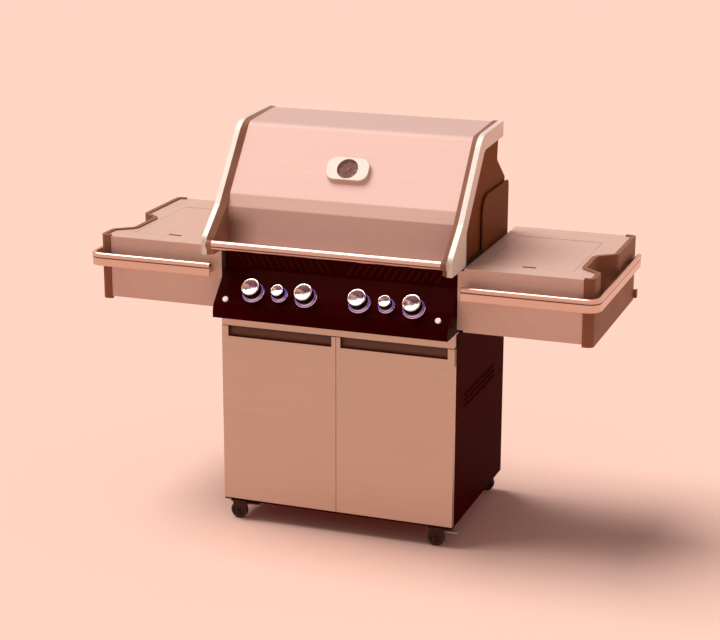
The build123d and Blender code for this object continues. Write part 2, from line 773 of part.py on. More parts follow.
def make_control_panel():
    """Folded panel with end cheeks, holes for the valve stems and for the push-buttons."""
    panel = along_x(bent_sheet(side_points(panel_run), panel_radii, -sheet), -panel_half, panel_half)
    outline = [*panel_run, (box_front_d, header_top_z)]
    cheek_face = closed_face(side_points(outline[1:]), [*panel_radii, 0, 0])
    cheek = along_x(cheek_face, panel_half - sheet, panel_half)
    panel = panel + cheek + mirrored(cheek)
    for x, _ in knob_list:
        panel -= on_panel(x, knob_up) * Cylinder(stem_hole_r, 6 * sheet)
    for x in (-button_x, button_x):
        panel -= on_panel(x, button_up) * Cylinder(button_r + slide_gap, 12 * sheet)
    return panel


def make_bezels():
    """Conical ring under each knob."""
    solids = []
    for x, big in knob_list:
        radius = big_bezel_r if big else small_bezel_r
        ring = Cone(radius, radius - bezel_slope, bezel_h, align=standing)
        ring -= Cylinder(stem_hole_r, 4 * bezel_h)
        solids += (on_panel(x, knob_up) * ring).solids()
    return Compound(solids)


def make_knob(x, big):
    """Knob with a dished face, a raised pointer and a blind bore for the valve stem."""
    radius, height = (big_knob_r, big_knob_h) if big else (small_knob_r, small_knob_h)
    knob = Cone(radius, radius - knob_taper, height, align=standing)
    knob = fillet(knob.faces().sort_by(Axis.Z)[-1].edges(), knob_edge_r)
    dish_r = radius * knob_dish_share
    floor_h = height - knob_dish
    knob -= Pos(0, 0, floor_h) * Cylinder(dish_r, 2 * knob_dish, align=standing)
    knob += Pos(0, dish_r / 2, floor_h - bite) * Box(pointer_w, dish_r, bite + knob_dish, align=standing)
    knob -= Cylinder(stem_pin_r + running, 2 * (height - stem_grip))
    return on_panel(x, knob_up, bezel_h + 2 * touch) * knob


def make_button(x):
    """Round push-button with a collar behind the panel."""
    button = Cylinder(button_r, button_proud + button_shank, align=standing)
    button = fillet(button.faces().sort_by(Axis.Z)[-1].edges(), button_edge_r)
    collar_z = button_shank - sheet - touch - button_collar
    button += Pos(0, 0, collar_z) * Cylinder(button_r + button_collar, button_collar, align=standing)
    return on_panel(x, button_up, -button_shank) * button


def make_valves():
    """Gas valves: body from the panel down to the manifold, and the stem that carries a knob."""
    solids = []
    body_low = manifold_out + manifold_r + touch
    for x, big in knob_list:
        reach = (big_knob_h if big else small_knob_h) - stem_grip - bite
        body = Cylinder(valve_r, -sheet - body_low, align=standing)
        stem_len = bite + sheet + bezel_h + 2 * touch + reach
        valve = on_panel(x, knob_up, body_low) * body
        valve += on_panel(x, knob_up, -sheet - bite) * Cylinder(stem_pin_r, stem_len, align=standing)
        solids += valve.solids()
    return Compound(solids)


def make_manifold():
    """Manifold tube and the inlet pipe that leads down and out of the back panel."""
    centre = on_panel(0, knob_up, manifold_out).origin
    end_x = 3 * knob_pitch + 2 * valve_r
    tube = rod((-end_x, centre.Y, centre.Z), (end_x, centre.Y, centre.Z), manifold_r)
    route = [
        (end_x - bite, centre.Y, centre.Z), (inlet_x, centre.Y, centre.Z),
        (inlet_x, centre.Y, inlet_z), (inlet_x, back(cart_depth), inlet_z),
    ]
    tube += pipe(route, inlet_pipe_r, inlet_bend_r)
    tip = back(cart_depth + inlet_len)
    flange_end = back(cart_depth - side_sheet)
    flange_start = flange_end - 2 * plate
    tube += rod((inlet_x, flange_start, inlet_z), (inlet_x, tip, inlet_z), inlet_r)
    tube += rod((inlet_x, flange_start, inlet_z), (inlet_x, flange_end, inlet_z), inlet_flange_r)
    return tube - rod((inlet_x, back(cart_depth), inlet_z), (inlet_x, tip, inlet_z), inlet_bore_r)


# ---- Firebox and what it holds ---------------------------------------------------------------
burner_places = [count * knob_pitch for count in (-3, -1, 1, 3)]
box_inner = box_half - box_wall
inside_y = (back(box_front_d + box_wall), back(box_back_d - box_wall))
tray_ledge = tray_half + tray_ledge_in
grate_ledge_z = grate_z - grate_rod_r - touch


def make_firebox():
    """Open-bottomed box with ledges for the tray, burners, heat plates and grates."""
    box = block((-box_half, box_half), (back(box_front_d), back(box_back_d)), (box_bottom_z, box_top_z))
    box -= block((-box_inner, box_inner), inside_y, (box_bottom_z - bite, box_top_z + bite))
    rails = block((tray_ledge, box_inner + bite), inside_y, (box_bottom_z, box_bottom_z + plate))
    box = box + rails + mirrored(rails)
    tray_way = tray_half + tray_flange + tray_way_gap
    way_z = (box_bottom_z - bite, tray_top_z + tray_way_gap)
    box -= block((-tray_way, tray_way), (inside_y[1], back(box_back_d + bite)), way_z)
    ledge_x = (-box_inner - bite, box_inner + bite)
    rear_ledges = {
        burner_z - burner_r - touch: burner_ledge,
        heat_plate_z: ledge,
        grate_ledge_z: ledge,
    }
    for top, reach in rear_ledges.items():
        box += block(ledge_x, (inside_y[1] - reach, inside_y[1] + bite), (top - box_wall, top))
    for top in (heat_plate_z, grate_ledge_z):
        box += block(ledge_x, (inside_y[0] - bite, inside_y[0] + ledge), (top - box_wall, top))
    for x in burner_places:
        neck_hole = Cylinder(burner_neck_r + touch, 4 * box_wall)
        box -= Pos(x, back(box_front_d), burner_z) * Rot(90, 0, 0) * neck_hole
    return box


def make_burners():
    """Four burner tubes whose necks pass through the front wall."""
    solids = []
    tube_start = inside_y[0] + touch
    tube_end = inside_y[1] - ledge
    neck_start = back(box_front_d - burner_neck)
    for x in burner_places:
        tube = rod((x, tube_start, burner_z), (x, tube_end, burner_z), burner_r)
        tube += rod((x, neck_start, burner_z), (x, tube_start + bite, burner_z), burner_neck_r)
        tube -= rod((x, neck_start, burner_z), (x, tube_start, burner_z), burner_neck_r - burner_wall)
        solids += tube.solids()
    return Compound(solids)


def make_heat_plates():
    """Roof-shaped plate above each burner."""
    half, rise = heat_plate_w / 2, heat_plate_h
    low = heat_plate_z + touch
    section = closed_face([
        (-half, low), (0, low + rise), (half, low),
        (half - 2 * sheet, low), (0, low + rise - 2 * sheet), (-half + 2 * sheet, low),
    ])
    end = inside_y[1] - bite
    length = end - inside_y[0] - bite
    solids = []
    for x in burner_places:
        solids += extrude(Plane.XZ.offset(-end) * Pos(x, 0) * section, amount=length).solids()
    return Compound(solids)


def make_grates():
    """Two cooking grates of round rods on three cross bars."""
    start_x = grate_gap / 2 + grate_rod_r
    end_x = box_inner - grate_play - grate_rod_r
    start, end = inside_y[0] + grate_play, inside_y[1] - grate_play
    pitch = (end_x - start_x) / (grate_rods - 1)
    grate = rod((start_x, start, grate_z), (start_x, end, grate_z), grate_rod_r)
    for index in range(1, grate_rods):
        x = start_x + index * pitch
        grate += rod((x, start, grate_z), (x, end, grate_z), grate_rod_r)
    bar_z = grate_z - grate_rod_r + grate_bar_r
    for share in (0.1, 0.5, 0.9):
        y = start + (end - start) * share
        grate += rod((start_x, y, bar_z), (end_x, y, bar_z), grate_bar_r)
    return pair(grate)


def make_rear_burner():
    """Radiant burner box on the rear baffle."""
    top = rear_burner_z + rear_burner_h
    front, rear = back(box_back_d - rear_burner_t), back(box_back_d)
    box = block((-rear_burner_half, rear_burner_half), (front, rear), (rear_burner_z, top))
    rim = rear_burner_rim
    return box - block(
        (-rear_burner_half + rim, rear_burner_half - rim), (front - bite, front + rear_burner_in),
        (rear_burner_z + rim, top - rim),
    )


def make_baffle():
    """Vented rear baffle between the firebox and the lid's skirt."""
    wall_y = (back(box_back_d), back(box_back_d + sheet))
    baffle = block((-box_half, box_half), wall_y, (box_top_z - baffle_low, baffle_top_z))
    slot = Box(louvre_w, 6 * sheet, 2 * louvre_h)
    pitch = 2 * box_half / (baffle_vents + 1)
    for index in range(baffle_vents):
        x = -box_half + (index + 1) * pitch
        baffle -= Pos(x, wall_y[0], baffle_top_z - 4 * louvre_h) * slot
    return baffle


def make_warming_rack():
    """Wire rack that stands on the side walls of the firebox."""
    leg_x = box_half - box_wall / 2
    front, rear = back(rack_front_d), back(rack_back_d)
    side = rod((leg_x, front, rack_z), (leg_x, rear, rack_z), rack_side_r)
    for y in (front + rack_leg_in, rear - rack_leg_in):
        side += rod((leg_x, y, box_top_z), (leg_x, y, rack_z), rack_r)
    rack = side + mirrored(side)
    for index in range(rack_rods):
        y = front + rack_side_r + (rear - front - 2 * rack_side_r) * index / (rack_rods - 1)
        rack += rod((-leg_x, y, rack_z), (leg_x, y, rack_z), rack_r)
    return rack


def make_tray():
    """Drip tray on the firebox ledges, with its face and grip behind the cart."""
    start, end = inside_y[0] + sheet, back(cart_depth) + bite
    tray = block((-tray_half, tray_half), (start, end), (tray_bottom_z, tray_top_z))
    tray -= block(
        (-tray_half + sheet, tray_half - sheet), (start + sheet, end - sheet),
        (tray_bottom_z + sheet, tray_top_z + bite),
    )
    flange_z = (box_bottom_z + plate + slide_gap, tray_top_z)
    flange = block((tray_half - sheet, tray_half + tray_flange), (start, end - sheet), flange_z)
    face_half = tray_half + tray_flange
    tray = tray + flange + mirrored(flange)
    tray += block((-face_half, face_half), (end, end + sheet), (back_top_z + sheet, panel_top_z))
    grip_z = (tray_grip_z, tray_grip_z + tray_grip_h)
    grip_y = (end + tray_grip_out - plate, end + tray_grip_out)
    tray += block((-tray_grip_half, tray_grip_half), grip_y, grip_z)
    post_x = (tray_grip_half - 4 * plate, tray_grip_half - plate)
    post = block(post_x, (end + sheet, grip_y[1]), grip_z)
    return tray + post + mirrored(post)


# ---- Side shelves ----------------------------------------------------------------------------
cap_bottom_z = shelf_bottom_z - cap_low
cap_front_y = back(shelf_front_d - cap_proud)
scoop_x = cover_outer + cover_gap + sheet + scoop_gap + sheet + touch + cap_wall
cap_run = [
    (shelf_outer - cap_front_w, cap_front_y), (shelf_outer, cap_front_y),
    (shelf_outer, back(scoop_front_d - scoop_run)), (scoop_x, back(scoop_front_d)),
    (scoop_x, back(scoop_back_d)), (shelf_outer, back(scoop_back_d + scoop_run)),
    (shelf_outer, rear_y), (shelf_outer - cap_front_w, rear_y),
]
corner_r = cap_wall + fold_r
cap_radii = [corner_r, scoop_r, scoop_r, scoop_r, scoop_r, corner_r]
rail_line_y = back(rail_front_d + rail_bead_r)
rail_line_x = rail_half - rail_bead_r
cover_x = (cover_inner, cover_outer)
cover_y = (back(cover_front_d), back(cover_back_d))
cover_low = shelf_top_z - cover_t
cover_pin_y = back(cover_back_d - cover_hinge_in)
cover_pin_z = cover_low + cover_t / 2
pan_x = (cover_inner + pan_in, cover_outer - pan_in)
pan_y = (back(cover_front_d + pan_in), back(cover_back_d - pan_back_in))
side_grate_half = (pan_x[1] - pan_x[0]) / 2 - side_grate_in


def make_end_cap():
    """Moulded cap around the outer end of a shelf, with the hand scoop in its upper part."""
    low_run = [*cap_run[:2], *cap_run[-2:]]
    low = bent_sheet(low_run, [corner_r, corner_r], cap_wall)
    cap = Pos(0, 0, cap_bottom_z) * extrude(low, amount=scoop_floor_z - cap_bottom_z)
    scooped = bent_sheet(cap_run, cap_radii, cap_wall)
    scooped_z = scoop_floor_z - cap_wall
    cap += Pos(0, 0, scooped_z) * extrude(scooped, amount=shelf_top_z + cap_lip - scooped_z)
    ends_x = shelf_outer - bite
    scoop = closed_face([(ends_x, cap_run[2][1]), *cap_run[3:5], (ends_x, cap_run[5][1])])
    cap += Pos(0, 0, scooped_z) * extrude(scoop, amount=cap_wall)
    tab_x, tab_z = (shelf_outer - bite, shelf_outer + tab_out), cap_bottom_z + tab_up
    return cap + block(tab_x, (rear_y - tab_w, rear_y), (tab_z, tab_z + tab_h))


def make_shelf():
    """Right shelf: folded top with fascia, cover opening, fascia strip and mounting boxes."""
    seat = cap_wall + touch
    run = offset_run(cap_run, seat)
    run_radii = offset_radii(cap_run, cap_radii, seat)
    edge_x = shelf_outer - cap_front_w - touch
    front_y = back(shelf_front_d)
    plan = [
        (shelf_inner, front_y), (edge_x, front_y), (edge_x, run[0][1]), *run[1:-1],
        (edge_x, run[-1][1]), (edge_x, rear_y), (shelf_inner, rear_y),
    ]
    outline = closed_face(plan, [0, 0, 0, *run_radii, 0, 0, 0])
    inner = offset(outline, -sheet, kind=Kind.INTERSECTION)
    shelf = Pos(0, 0, shelf_bottom_z) * extrude(outline, amount=shelf_top_z - shelf_bottom_z)
    shelf -= Pos(0, 0, shelf_bottom_z) * extrude(inner, amount=shelf_top_z - shelf_bottom_z - sheet)
    hole_x = (cover_x[0] - cover_gap, cover_x[1] + cover_gap)
    hole_y = (cover_y[0] - cover_gap, cover_y[1] + hinge_space)
    frame_x = (hole_x[0] - sheet, hole_x[1] + sheet)
    frame_y = (hole_y[0] - sheet, hole_y[1] + sheet)
    shelf += block(frame_x, frame_y, (cover_low - touch, shelf_top_z))
    shelf -= block(hole_x, hole_y, (cover_low - bite, shelf_top_z + bite))
    shelf -= rod(
        (frame_x[0] - bite, cover_pin_y, cover_pin_z), (frame_x[1] + bite, cover_pin_y, cover_pin_z),
        cover_pin_r + running,
    )
    fascia_z = (shelf_bottom_z + fascia_up, fascia_top_z)
    shelf += block((fascia_inner, shelf_inner + bite), (front_y, front_y + sheet), fascia_z)
    arm_z = (shelf_bottom_z + arm_up, shelf_bottom_z + arm_up + arm_w)
    for distance in (arm_front_d, arm_back_d):
        arm_y = (back(distance), back(distance + arm_w))
        arm = block((box_half, shelf_inner + bite), arm_y, arm_z)
        arm -= block(
            (box_half - bite, shelf_inner + bite), (arm_y[0] + plate, arm_y[1] - plate),
            (arm_z[0] + plate, arm_z[1] - plate),
        )
        shelf += arm
    return shelf


def make_cover():
    """Hinged cover with a finger notch, as a shallow pan with its pins at the back."""
    cover = block(cover_x, cover_y, (cover_low, shelf_top_z))
    cover -= block(
        (cover_x[0] + sheet, cover_x[1] - sheet), (cover_y[0] + sheet, cover_y[1] - sheet),
        (cover_low - bite, shelf_top_z - sheet),
    )
    middle = (cover_x[0] + cover_x[1]) / 2
    notch_x = (middle - notch_w / 2, middle + notch_w / 2)
    notch_y = (cover_y[0] - bite, cover_y[0] + notch_d)
    cover -= block(notch_x, notch_y, (cover_low - bite, shelf_top_z + bite))
    boss_y = (cover_pin_y - cover_hinge_in, cover_y[1])
    for edge, inward in ((cover_x[0], 1), (cover_x[1], -1)):
        boss_x = sorted((edge, edge + cover_boss * inward))
        cover += block(boss_x, boss_y, (cover_low, shelf_top_z))
        start = (edge + inward * bite, cover_pin_y, cover_pin_z)
        tip = (edge - inward * (cover_gap + sheet - touch), cover_pin_y, cover_pin_z)
        cover += rod(start, tip, cover_pin_r)
    return cover


def make_pan():
    """Drop-in pan under a cover, its flange against the opening's frame."""
    pan_top = cover_low - touch
    return hollow_pan(pan_x, pan_y, pan_top, pan_top - pan_depth, pan_rim)


def make_side_burner():
    """Side burner: drop-in pan with a round burner head."""
    x, y = sum(pan_x) / 2, sum(pan_y) / 2
    floor = cover_low - touch - pan_depth + bite
    head = Pos(x, y, floor) * Cylinder(side_head_r, side_head_h, align=standing)
    cap = Cylinder(side_head_r - side_cap_in, side_cap_h + bite, align=standing)
    head += Pos(x, y, floor + side_head_h - bite) * cap
    return make_pan() + head


def make_side_grate():
    """Cast grate of five bars over the side burner, on four legs."""
    x, y = sum(pan_x) / 2, sum(pan_y) / 2
    top = cover_low - side_grate_low
    bars_z = (top - side_bar, top)
    reach = side_grate_half
    gap = (2 * reach - 5 * side_bar) / 4
    slot_y = (y - reach + side_bar, y + reach - side_bar)
    grate = block((x - reach, x + reach), (y - reach, y + reach), bars_z)
    for index in range(4):
        start = x - reach + side_bar + index * (gap + side_bar)
        grate -= block((start, start + gap), slot_y, bars_z)
    floor = cover_low - touch - pan_depth + sheet
    for leg_x in (x - reach, x + reach - side_bar):
        for leg_y in (y - reach, y + reach - side_bar):
            grate += block((leg_x, leg_x + side_bar), (leg_y, leg_y + side_bar), (floor, top))
    return grate


def make_rail():
    """Right rail: bead on a flat band, along the front and round the outer end."""
    centre_z = rail_top_z - rail_bead_r
    points = [
        (rail_inner, rail_line_y, centre_z), (rail_line_x, rail_line_y, centre_z),
        (rail_line_x, back(rail_back_d), centre_z),
    ]
    path = FilletPolyline(*points, radius=rail_corner_r)
    band_h = centre_z - rail_bottom_z
    band = Pos(rail_band_t / 2 - bite, band_h / 2) * Rectangle(rail_band_t, band_h)
    start = Plane(origin=points[0], x_dir=(0, -1, 0), z_dir=(1, 0, 0))
    return sweep(start * (Circle(rail_bead_r) + band), path=path)


def make_rail_brackets():
    """Short blocks between the rails and the shelves."""
    bracket_z = (rail_bottom_z + bracket_up, rail_bottom_z + bracket_up + bracket_h)
    front = (rail_line_y + bite, back(shelf_front_d))
    solids = []
    for x in (rail_inner + bracket_in, shelf_outer - cap_front_w - bracket_out):
        solids += block((x, x + bracket_w), front, bracket_z).solids()
    end = back(rail_back_d - bracket_back)
    solids += block((shelf_outer, rail_line_x - bite), (end - bracket_w, end), bracket_z).solids()
    return pair(Compound(solids))


# ---- All pieces ------------------------------------------------------------------------------
nodes = {
    "cabinet_floor": make_floor(),
    "cabinet_right_panel": make_side_panel(),
    "cabinet_left_panel": mirrored(make_side_panel()),
    "cabinet_back_panel": make_back_panel(),
    "header_rail": make_header(),
    "left_door": make_door(),
    "right_door": mirrored(make_door()),
    "caster_plates": make_caster_plates(),
    "firebox": make_firebox(),
    "burner_tubes": make_burners(),
    "heat_plates": make_heat_plates(),
    "cooking_grates": make_grates(),
    "rear_burner": make_rear_burner(),
    "rear_baffle": make_baffle(),
    "warming_rack": make_warming_rack(),
    "drip_tray": make_tray(),
    "lid_cowls": pair(make_cowl()),
    "lid_shell": make_lid_shell(),
    "lid_right_casting": make_casting(),
    "lid_left_casting": mirrored(make_casting()),
    "lid_side_plates": pair(make_lid_plate()),
    "lid_handle": make_handle(),
    "thermometer_bezel": make_gauge_bezel(),
    "thermometer_dial": make_gauge_dial(),
    "thermometer_needle": make_needle(),
    "thermometer_glass": make_glass(),
    "control_panel": make_control_panel(),
    "knob_bezels": make_bezels(),
    "gas_valves": make_valves(),
    "gas_manifold": make_manifold(),
    "left_button": make_button(-button_x),
    "right_button": make_button(button_x),
    "right_shelf": make_shelf(),
    "left_shelf": mirrored(make_shelf()),
    "right_end_cap": make_end_cap(),
    "left_end_cap": mirrored(make_end_cap()),
    "right_rail": make_rail(),
    "left_rail": mirrored(make_rail()),
    "rail_brackets": make_rail_brackets(),
    "side_burner": make_side_burner(),
    "side_burner_grate": make_side_grate(),
    "side_burner_cover": make_cover(),
    "shelf_bin": mirrored(make_pan()),
    "bin_cover": mirrored(make_cover()),
}
for number, (x, big) in enumerate(knob_list, start=1):
    nodes[f"knob_{number}"] = make_knob(x, big)
for place, (x, y) in caster_places.items():
    front = place.startswith("front")
    swivel = Pos(x, y, 0) * Rot(0, 0, 0 if front else 180)
    nodes[f"caster_fork_{place}"] = swivel * make_fork(front)
    nodes[f"caster_wheel_{place}"] = swivel * make_wheel()
    if front:
        nodes[f"brake_pedal_{place}"] = swivel * make_pedal()

os.makedirs("parts", exist_ok=True)
for name, piece in nodes.items():
    export_step(piece, f"parts/{name}.step")
whole = Compound([solid for piece in nodes.values() for solid in piece.solids()]).bounding_box()
print("nodes", len(nodes), "box", whole.min, whole.max)
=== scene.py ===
"""Looks of a gas barbecue grill on a closed cart: finishes, small hardware, studio and camera."""
import json
import logging
import math
from dataclasses import dataclass
from enum import Enum
from functools import cached_property
from typing import Any, Iterable, Sequence

import bmesh
import bpy
from mathutils import Matrix, Vector


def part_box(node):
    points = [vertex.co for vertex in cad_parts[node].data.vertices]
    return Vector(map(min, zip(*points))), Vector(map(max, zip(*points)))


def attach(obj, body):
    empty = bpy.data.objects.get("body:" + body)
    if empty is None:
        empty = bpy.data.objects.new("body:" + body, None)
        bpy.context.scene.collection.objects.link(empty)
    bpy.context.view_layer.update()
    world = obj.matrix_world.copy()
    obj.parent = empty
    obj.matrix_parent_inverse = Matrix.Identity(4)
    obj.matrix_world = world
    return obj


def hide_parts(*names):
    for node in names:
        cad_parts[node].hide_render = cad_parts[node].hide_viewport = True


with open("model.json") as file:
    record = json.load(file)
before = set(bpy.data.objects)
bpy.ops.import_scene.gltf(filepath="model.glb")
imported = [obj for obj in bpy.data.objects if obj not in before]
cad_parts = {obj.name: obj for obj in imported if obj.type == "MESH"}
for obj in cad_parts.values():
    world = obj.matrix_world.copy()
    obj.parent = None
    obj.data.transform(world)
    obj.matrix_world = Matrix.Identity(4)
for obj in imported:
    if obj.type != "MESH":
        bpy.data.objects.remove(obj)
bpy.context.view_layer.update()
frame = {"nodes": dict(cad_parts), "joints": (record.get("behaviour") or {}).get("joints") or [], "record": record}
log = logging.getLogger("grill")

Colour = tuple[float, float, float]
Triple = tuple[float, float, float]
Outline = Sequence[tuple[float, float]]
Feeds = dict[str, Any]      # what a shader's sockets get, by their names

MM = 0.001      # shapes are drawn in millimetres, while places are in metres, as in the frame


class Grain(Enum):
    """Direction in which a sheet was brushed or drawn."""

    ALONG_X = (1, 0, 0)
    ALONG_Y = (0, 1, 0)


class HeadStyle(Enum):
    """Shape of a screw's head."""

    PAN = "pan"
    HEX = "hex"


# ---- Shader workbench ------------------------------------------------------------------------
class Value:
    """A number or colour that varies over a surface; sums on it add Math nodes."""

    def __init__(self, bench: "Bench", socket: bpy.types.NodeSocket) -> None:
        """Keep the bench and the socket that the value comes from."""
        self.bench = bench
        self.socket = socket

    def __add__(self, other: Any) -> "Value":
        """Sum."""
        return self.bench.math("ADD", self, other)

    __radd__ = __add__

    def __sub__(self, other: Any) -> "Value":
        """Difference."""
        return self.bench.math("SUBTRACT", self, other)

    def __rsub__(self, other: Any) -> "Value":
        """Difference from a number, as in 1 - mask."""
        return self.bench.math("SUBTRACT", other, self)

    def __mul__(self, other: Any) -> "Value":
        """Product."""
        return self.bench.math("MULTIPLY", self, other)

    __rmul__ = __mul__

    def __gt__(self, other: Any) -> "Value":
        """1 where the value is greater, otherwise 0."""
        return self.bench.math("GREATER_THAN", self, other)

    def __lt__(self, other: Any) -> "Value":
        """1 where the value is smaller, otherwise 0."""
        return self.bench.math("LESS_THAN", self, other)

    def __abs__(self) -> "Value":
        """Size without sign."""
        return self.bench.math("ABSOLUTE", self)

    def between(self, low: float, high: float) -> "Value":
        """Spread the range from low to high over 0 to 1, held at both ends."""
        sockets = {"Value": self, "From Min": low, "From Max": high}
        return self.bench.output("ShaderNodeMapRange", {"clamp": True}, sockets)


class Bench:
    """Adds nodes to one node tree."""

    def __init__(self, tree: bpy.types.NodeTree) -> None:
        """Work on a tree."""
        self.tree = tree

    def node(self, kind: str, settings: dict | None = None, sockets: dict | None = None) -> bpy.types.Node:
        """Add one node.

        Args:
            kind: node type.
            settings: properties of the node or the stops of its ramp, set first.
            sockets: numbers, colours or Values for its sockets, by name or place.

        Returns:
            The new node.
        """
        node = self.tree.nodes.new(kind)
        for key, setting in (settings or {}).items():
            if key == "stops":
                self._set_stops(node.color_ramp, setting)
            else:
                setattr(node, key, setting)
        for key, value in (sockets or {}).items():
            self.feed(node.inputs[key], value)
        return node

    def output(self, kind: str, settings: dict | None = None, sockets: dict | None = None,
               out: int | str = 0) -> Value:
        """Add one node and return its output of a name or place."""
        return Value(self, self.node(kind, settings, sockets).outputs[out])

    def math(self, operation: str, *operands: Any) -> Value:
        """Add one Math node."""
        return self.output("ShaderNodeMath", {"operation": operation}, dict(enumerate(operands)))

    def feed(self, socket: bpy.types.NodeSocket, value: Any) -> None:
        """Link a Value to a socket or set the socket's own number or colour.

        Args:
            socket: input to feed.
            value: Value, number, vector or colour.
        """
        if isinstance(value, Value):
            self.tree.links.new(value.socket, socket)
        elif isinstance(value, tuple) and socket.type == "RGBA" and len(value) == 3:
            socket.default_value = (*value, 1.0)
        else:
            socket.default_value = value

    @staticmethod
    def _set_stops(ramp: bpy.types.ColorRamp, stops: Sequence[tuple[float, Colour]]) -> None:
        """Give a ramp its stops.

        Args:
            ramp: ramp with at most as many stops.
            stops: places and colours.
        """
        while len(ramp.elements) < len(stops):
            ramp.elements.new(1.0)
        for element, (place, colour) in zip(ramp.elements, stops):
            element.position = place
            element.color = (*colour, 1.0)

    def place(self, scale: Triple = (1, 1, 1)) -> Value:
        """Object coordinates in metres, stretched by a factor along each axis."""
        spot = self.output("ShaderNodeTexCoord", out="Object")
        return self.output("ShaderNodeMapping", None, {"Vector": spot, "Scale": scale})

    @cached_property
    def here(self) -> Value:
        """Object coordinates in metres."""
        return self.place()

    def axes(self, place: Value | None = None) -> tuple[Value, Value, Value]:
        """Split coordinates into X, Y and Z."""
        split = self.node("ShaderNodeSeparateXYZ", None, {0: place or self.here})
        return tuple(Value(self, socket) for socket in split.outputs)

    def facing_up(self) -> Value:
        """Height of the surface's own direction: 1 on tops, 0 on uprights."""
        return self.axes(self.output("ShaderNodeNewGeometry", out="Normal"))[2]

    def noise(self, scale: float, detail: float = 2.0, place: Value | None = None) -> Value:
        """Cloudy pattern from 0 to 1, with its lumps per metre and its number of finer layers."""
        sockets = {"Vector": place or self.here, "Scale": scale, "Detail": detail}
        return self.output("ShaderNodeTexNoise", None, sockets)

    def cells(self, scale: float, out: str = "Distance") -> Value:
        """Pattern of cells, with their number per metre."""
        return self.output("ShaderNodeTexVoronoi", None, {"Vector": self.here, "Scale": scale}, out)

    def blend(self, share: Any, first: Any, second: Any) -> Value:
        """Mix two colours, share being that of the second."""
        settings = {"data_type": "RGBA"}
        return self.output("ShaderNodeMix", settings, {0: share, 6: first, 7: second}, 2)

    def bump(self, height: Value, depth: float, edge: float = 0.0) -> Value:
        """Turn a height pattern into relief.

        Args:
            height: pattern.
            depth: metres between its lowest and highest places.
            edge: radius of the rounding of the edges, in metres.

        Returns:
            The changed surface direction.
        """
        sockets = {"Height": height, "Distance": depth, "Strength": 1.0}
        if edge:
            sockets["Normal"] = self.output("ShaderNodeBevel", {"samples": 4}, {"Radius": edge})
        return self.output("ShaderNodeBump", None, sockets)


def shade(colour: Colour, factor: float) -> Colour:
    """A colour made lighter or darker by a factor."""
    return tuple(min(1.0, part * factor) for part in colour)


def warm_shine(level: float) -> Feeds:
    """Feeds for faint reflections that take on the warm air's colour."""
    return {"Specular IOR Level": level, "Specular Tint": (1.0, 0.32, 0.20)}


# ---- Finishes --------------------------------------------------------------------------------
@dataclass(frozen=True)
class Finish:
    """Base of all finishes.

    Attributes:
        name: name of the material, mostly also the record's slot that it dresses.
        colour: main colour, linear.
        roughness: gloss, 0 for a mirror.
    """

    name: str
    colour: Colour
    roughness: float

    def material(self) -> bpy.types.Material:
        """The material of this finish, made on first use.

        Returns:
            The material.
        """
        name = f"finish_{self.name}"
        made = bpy.data.materials.get(name)
        if made:
            return made
        made = bpy.data.materials.new(name)
        made.use_nodes = True
        bench = Bench(made.node_tree)
        surface = made.node_tree.nodes["Principled BSDF"]
        for key, value in self.sockets(bench).items():
            bench.feed(surface.inputs[key], value)
        return made

    def sockets(self, bench: Bench) -> Feeds:
        """What feeds the shader's sockets, worked out by each kind of finish.

        Args:
            bench: where the nodes go.

        Returns:
            Numbers, colours and Values by the sockets' names.
        """
        raise NotImplementedError

    def tones(self, bench: Bench, share: Value, low: float, high: float) -> Value:
        """The main colour between two factors, by a pattern."""
        return bench.blend(share, shade(self.colour, low), shade(self.colour, high))

    def gloss(self, *patterns: tuple[Value, float]) -> Value:
        """The roughness, varied by patterns from 0 to 1, each with its spread."""
        return sum((pattern - 0.5) * spread for pattern, spread in patterns) + self.roughness


@dataclass(frozen=True)
class BrushedSteel(Finish):
    """Stainless sheet brushed in one direction, with faint handling marks.

    Attributes:
        grain: direction of the brushing.
        streaks: strength of the streaks.
        metallic: share of mirror-like metal.
    """

    grain: Grain = Grain.ALONG_X
    streaks: float = 1.0
    metallic: float = 1.0

    def sockets(self, bench: Bench) -> Feeds:
        """Streaks in colour, gloss and relief, clouds of wiping, soft edges.

        Args:
            bench: workbench for the nodes.

        Returns:
            Feeds by the sockets' names.
        """
        fine, coarse = (
            bench.place(tuple(along if axis else across for axis in self.grain.value))
            for along, across in ((5, 900), (1.2, 90))
        )
        streak = bench.noise(1.0, 3.0, fine)
        worn = streak * 0.6 + bench.noise(1.0, 2.0, coarse) * 0.4
        cloud = bench.noise(4.0, 3.0)
        tone = (worn - 0.5) * (1.6 * self.streaks) + (cloud - 0.5) * 0.5 + 0.5
        return {
            "Base Color": self.tones(bench, tone.between(0, 1), 0.90, 1.10),
            "Metallic": self.metallic,
            "Roughness": self.gloss((worn, 0.22 * self.streaks), (cloud, 0.10)),
            "Normal": bench.bump(streak, 0.00003 * self.streaks, 0.0012),
        }


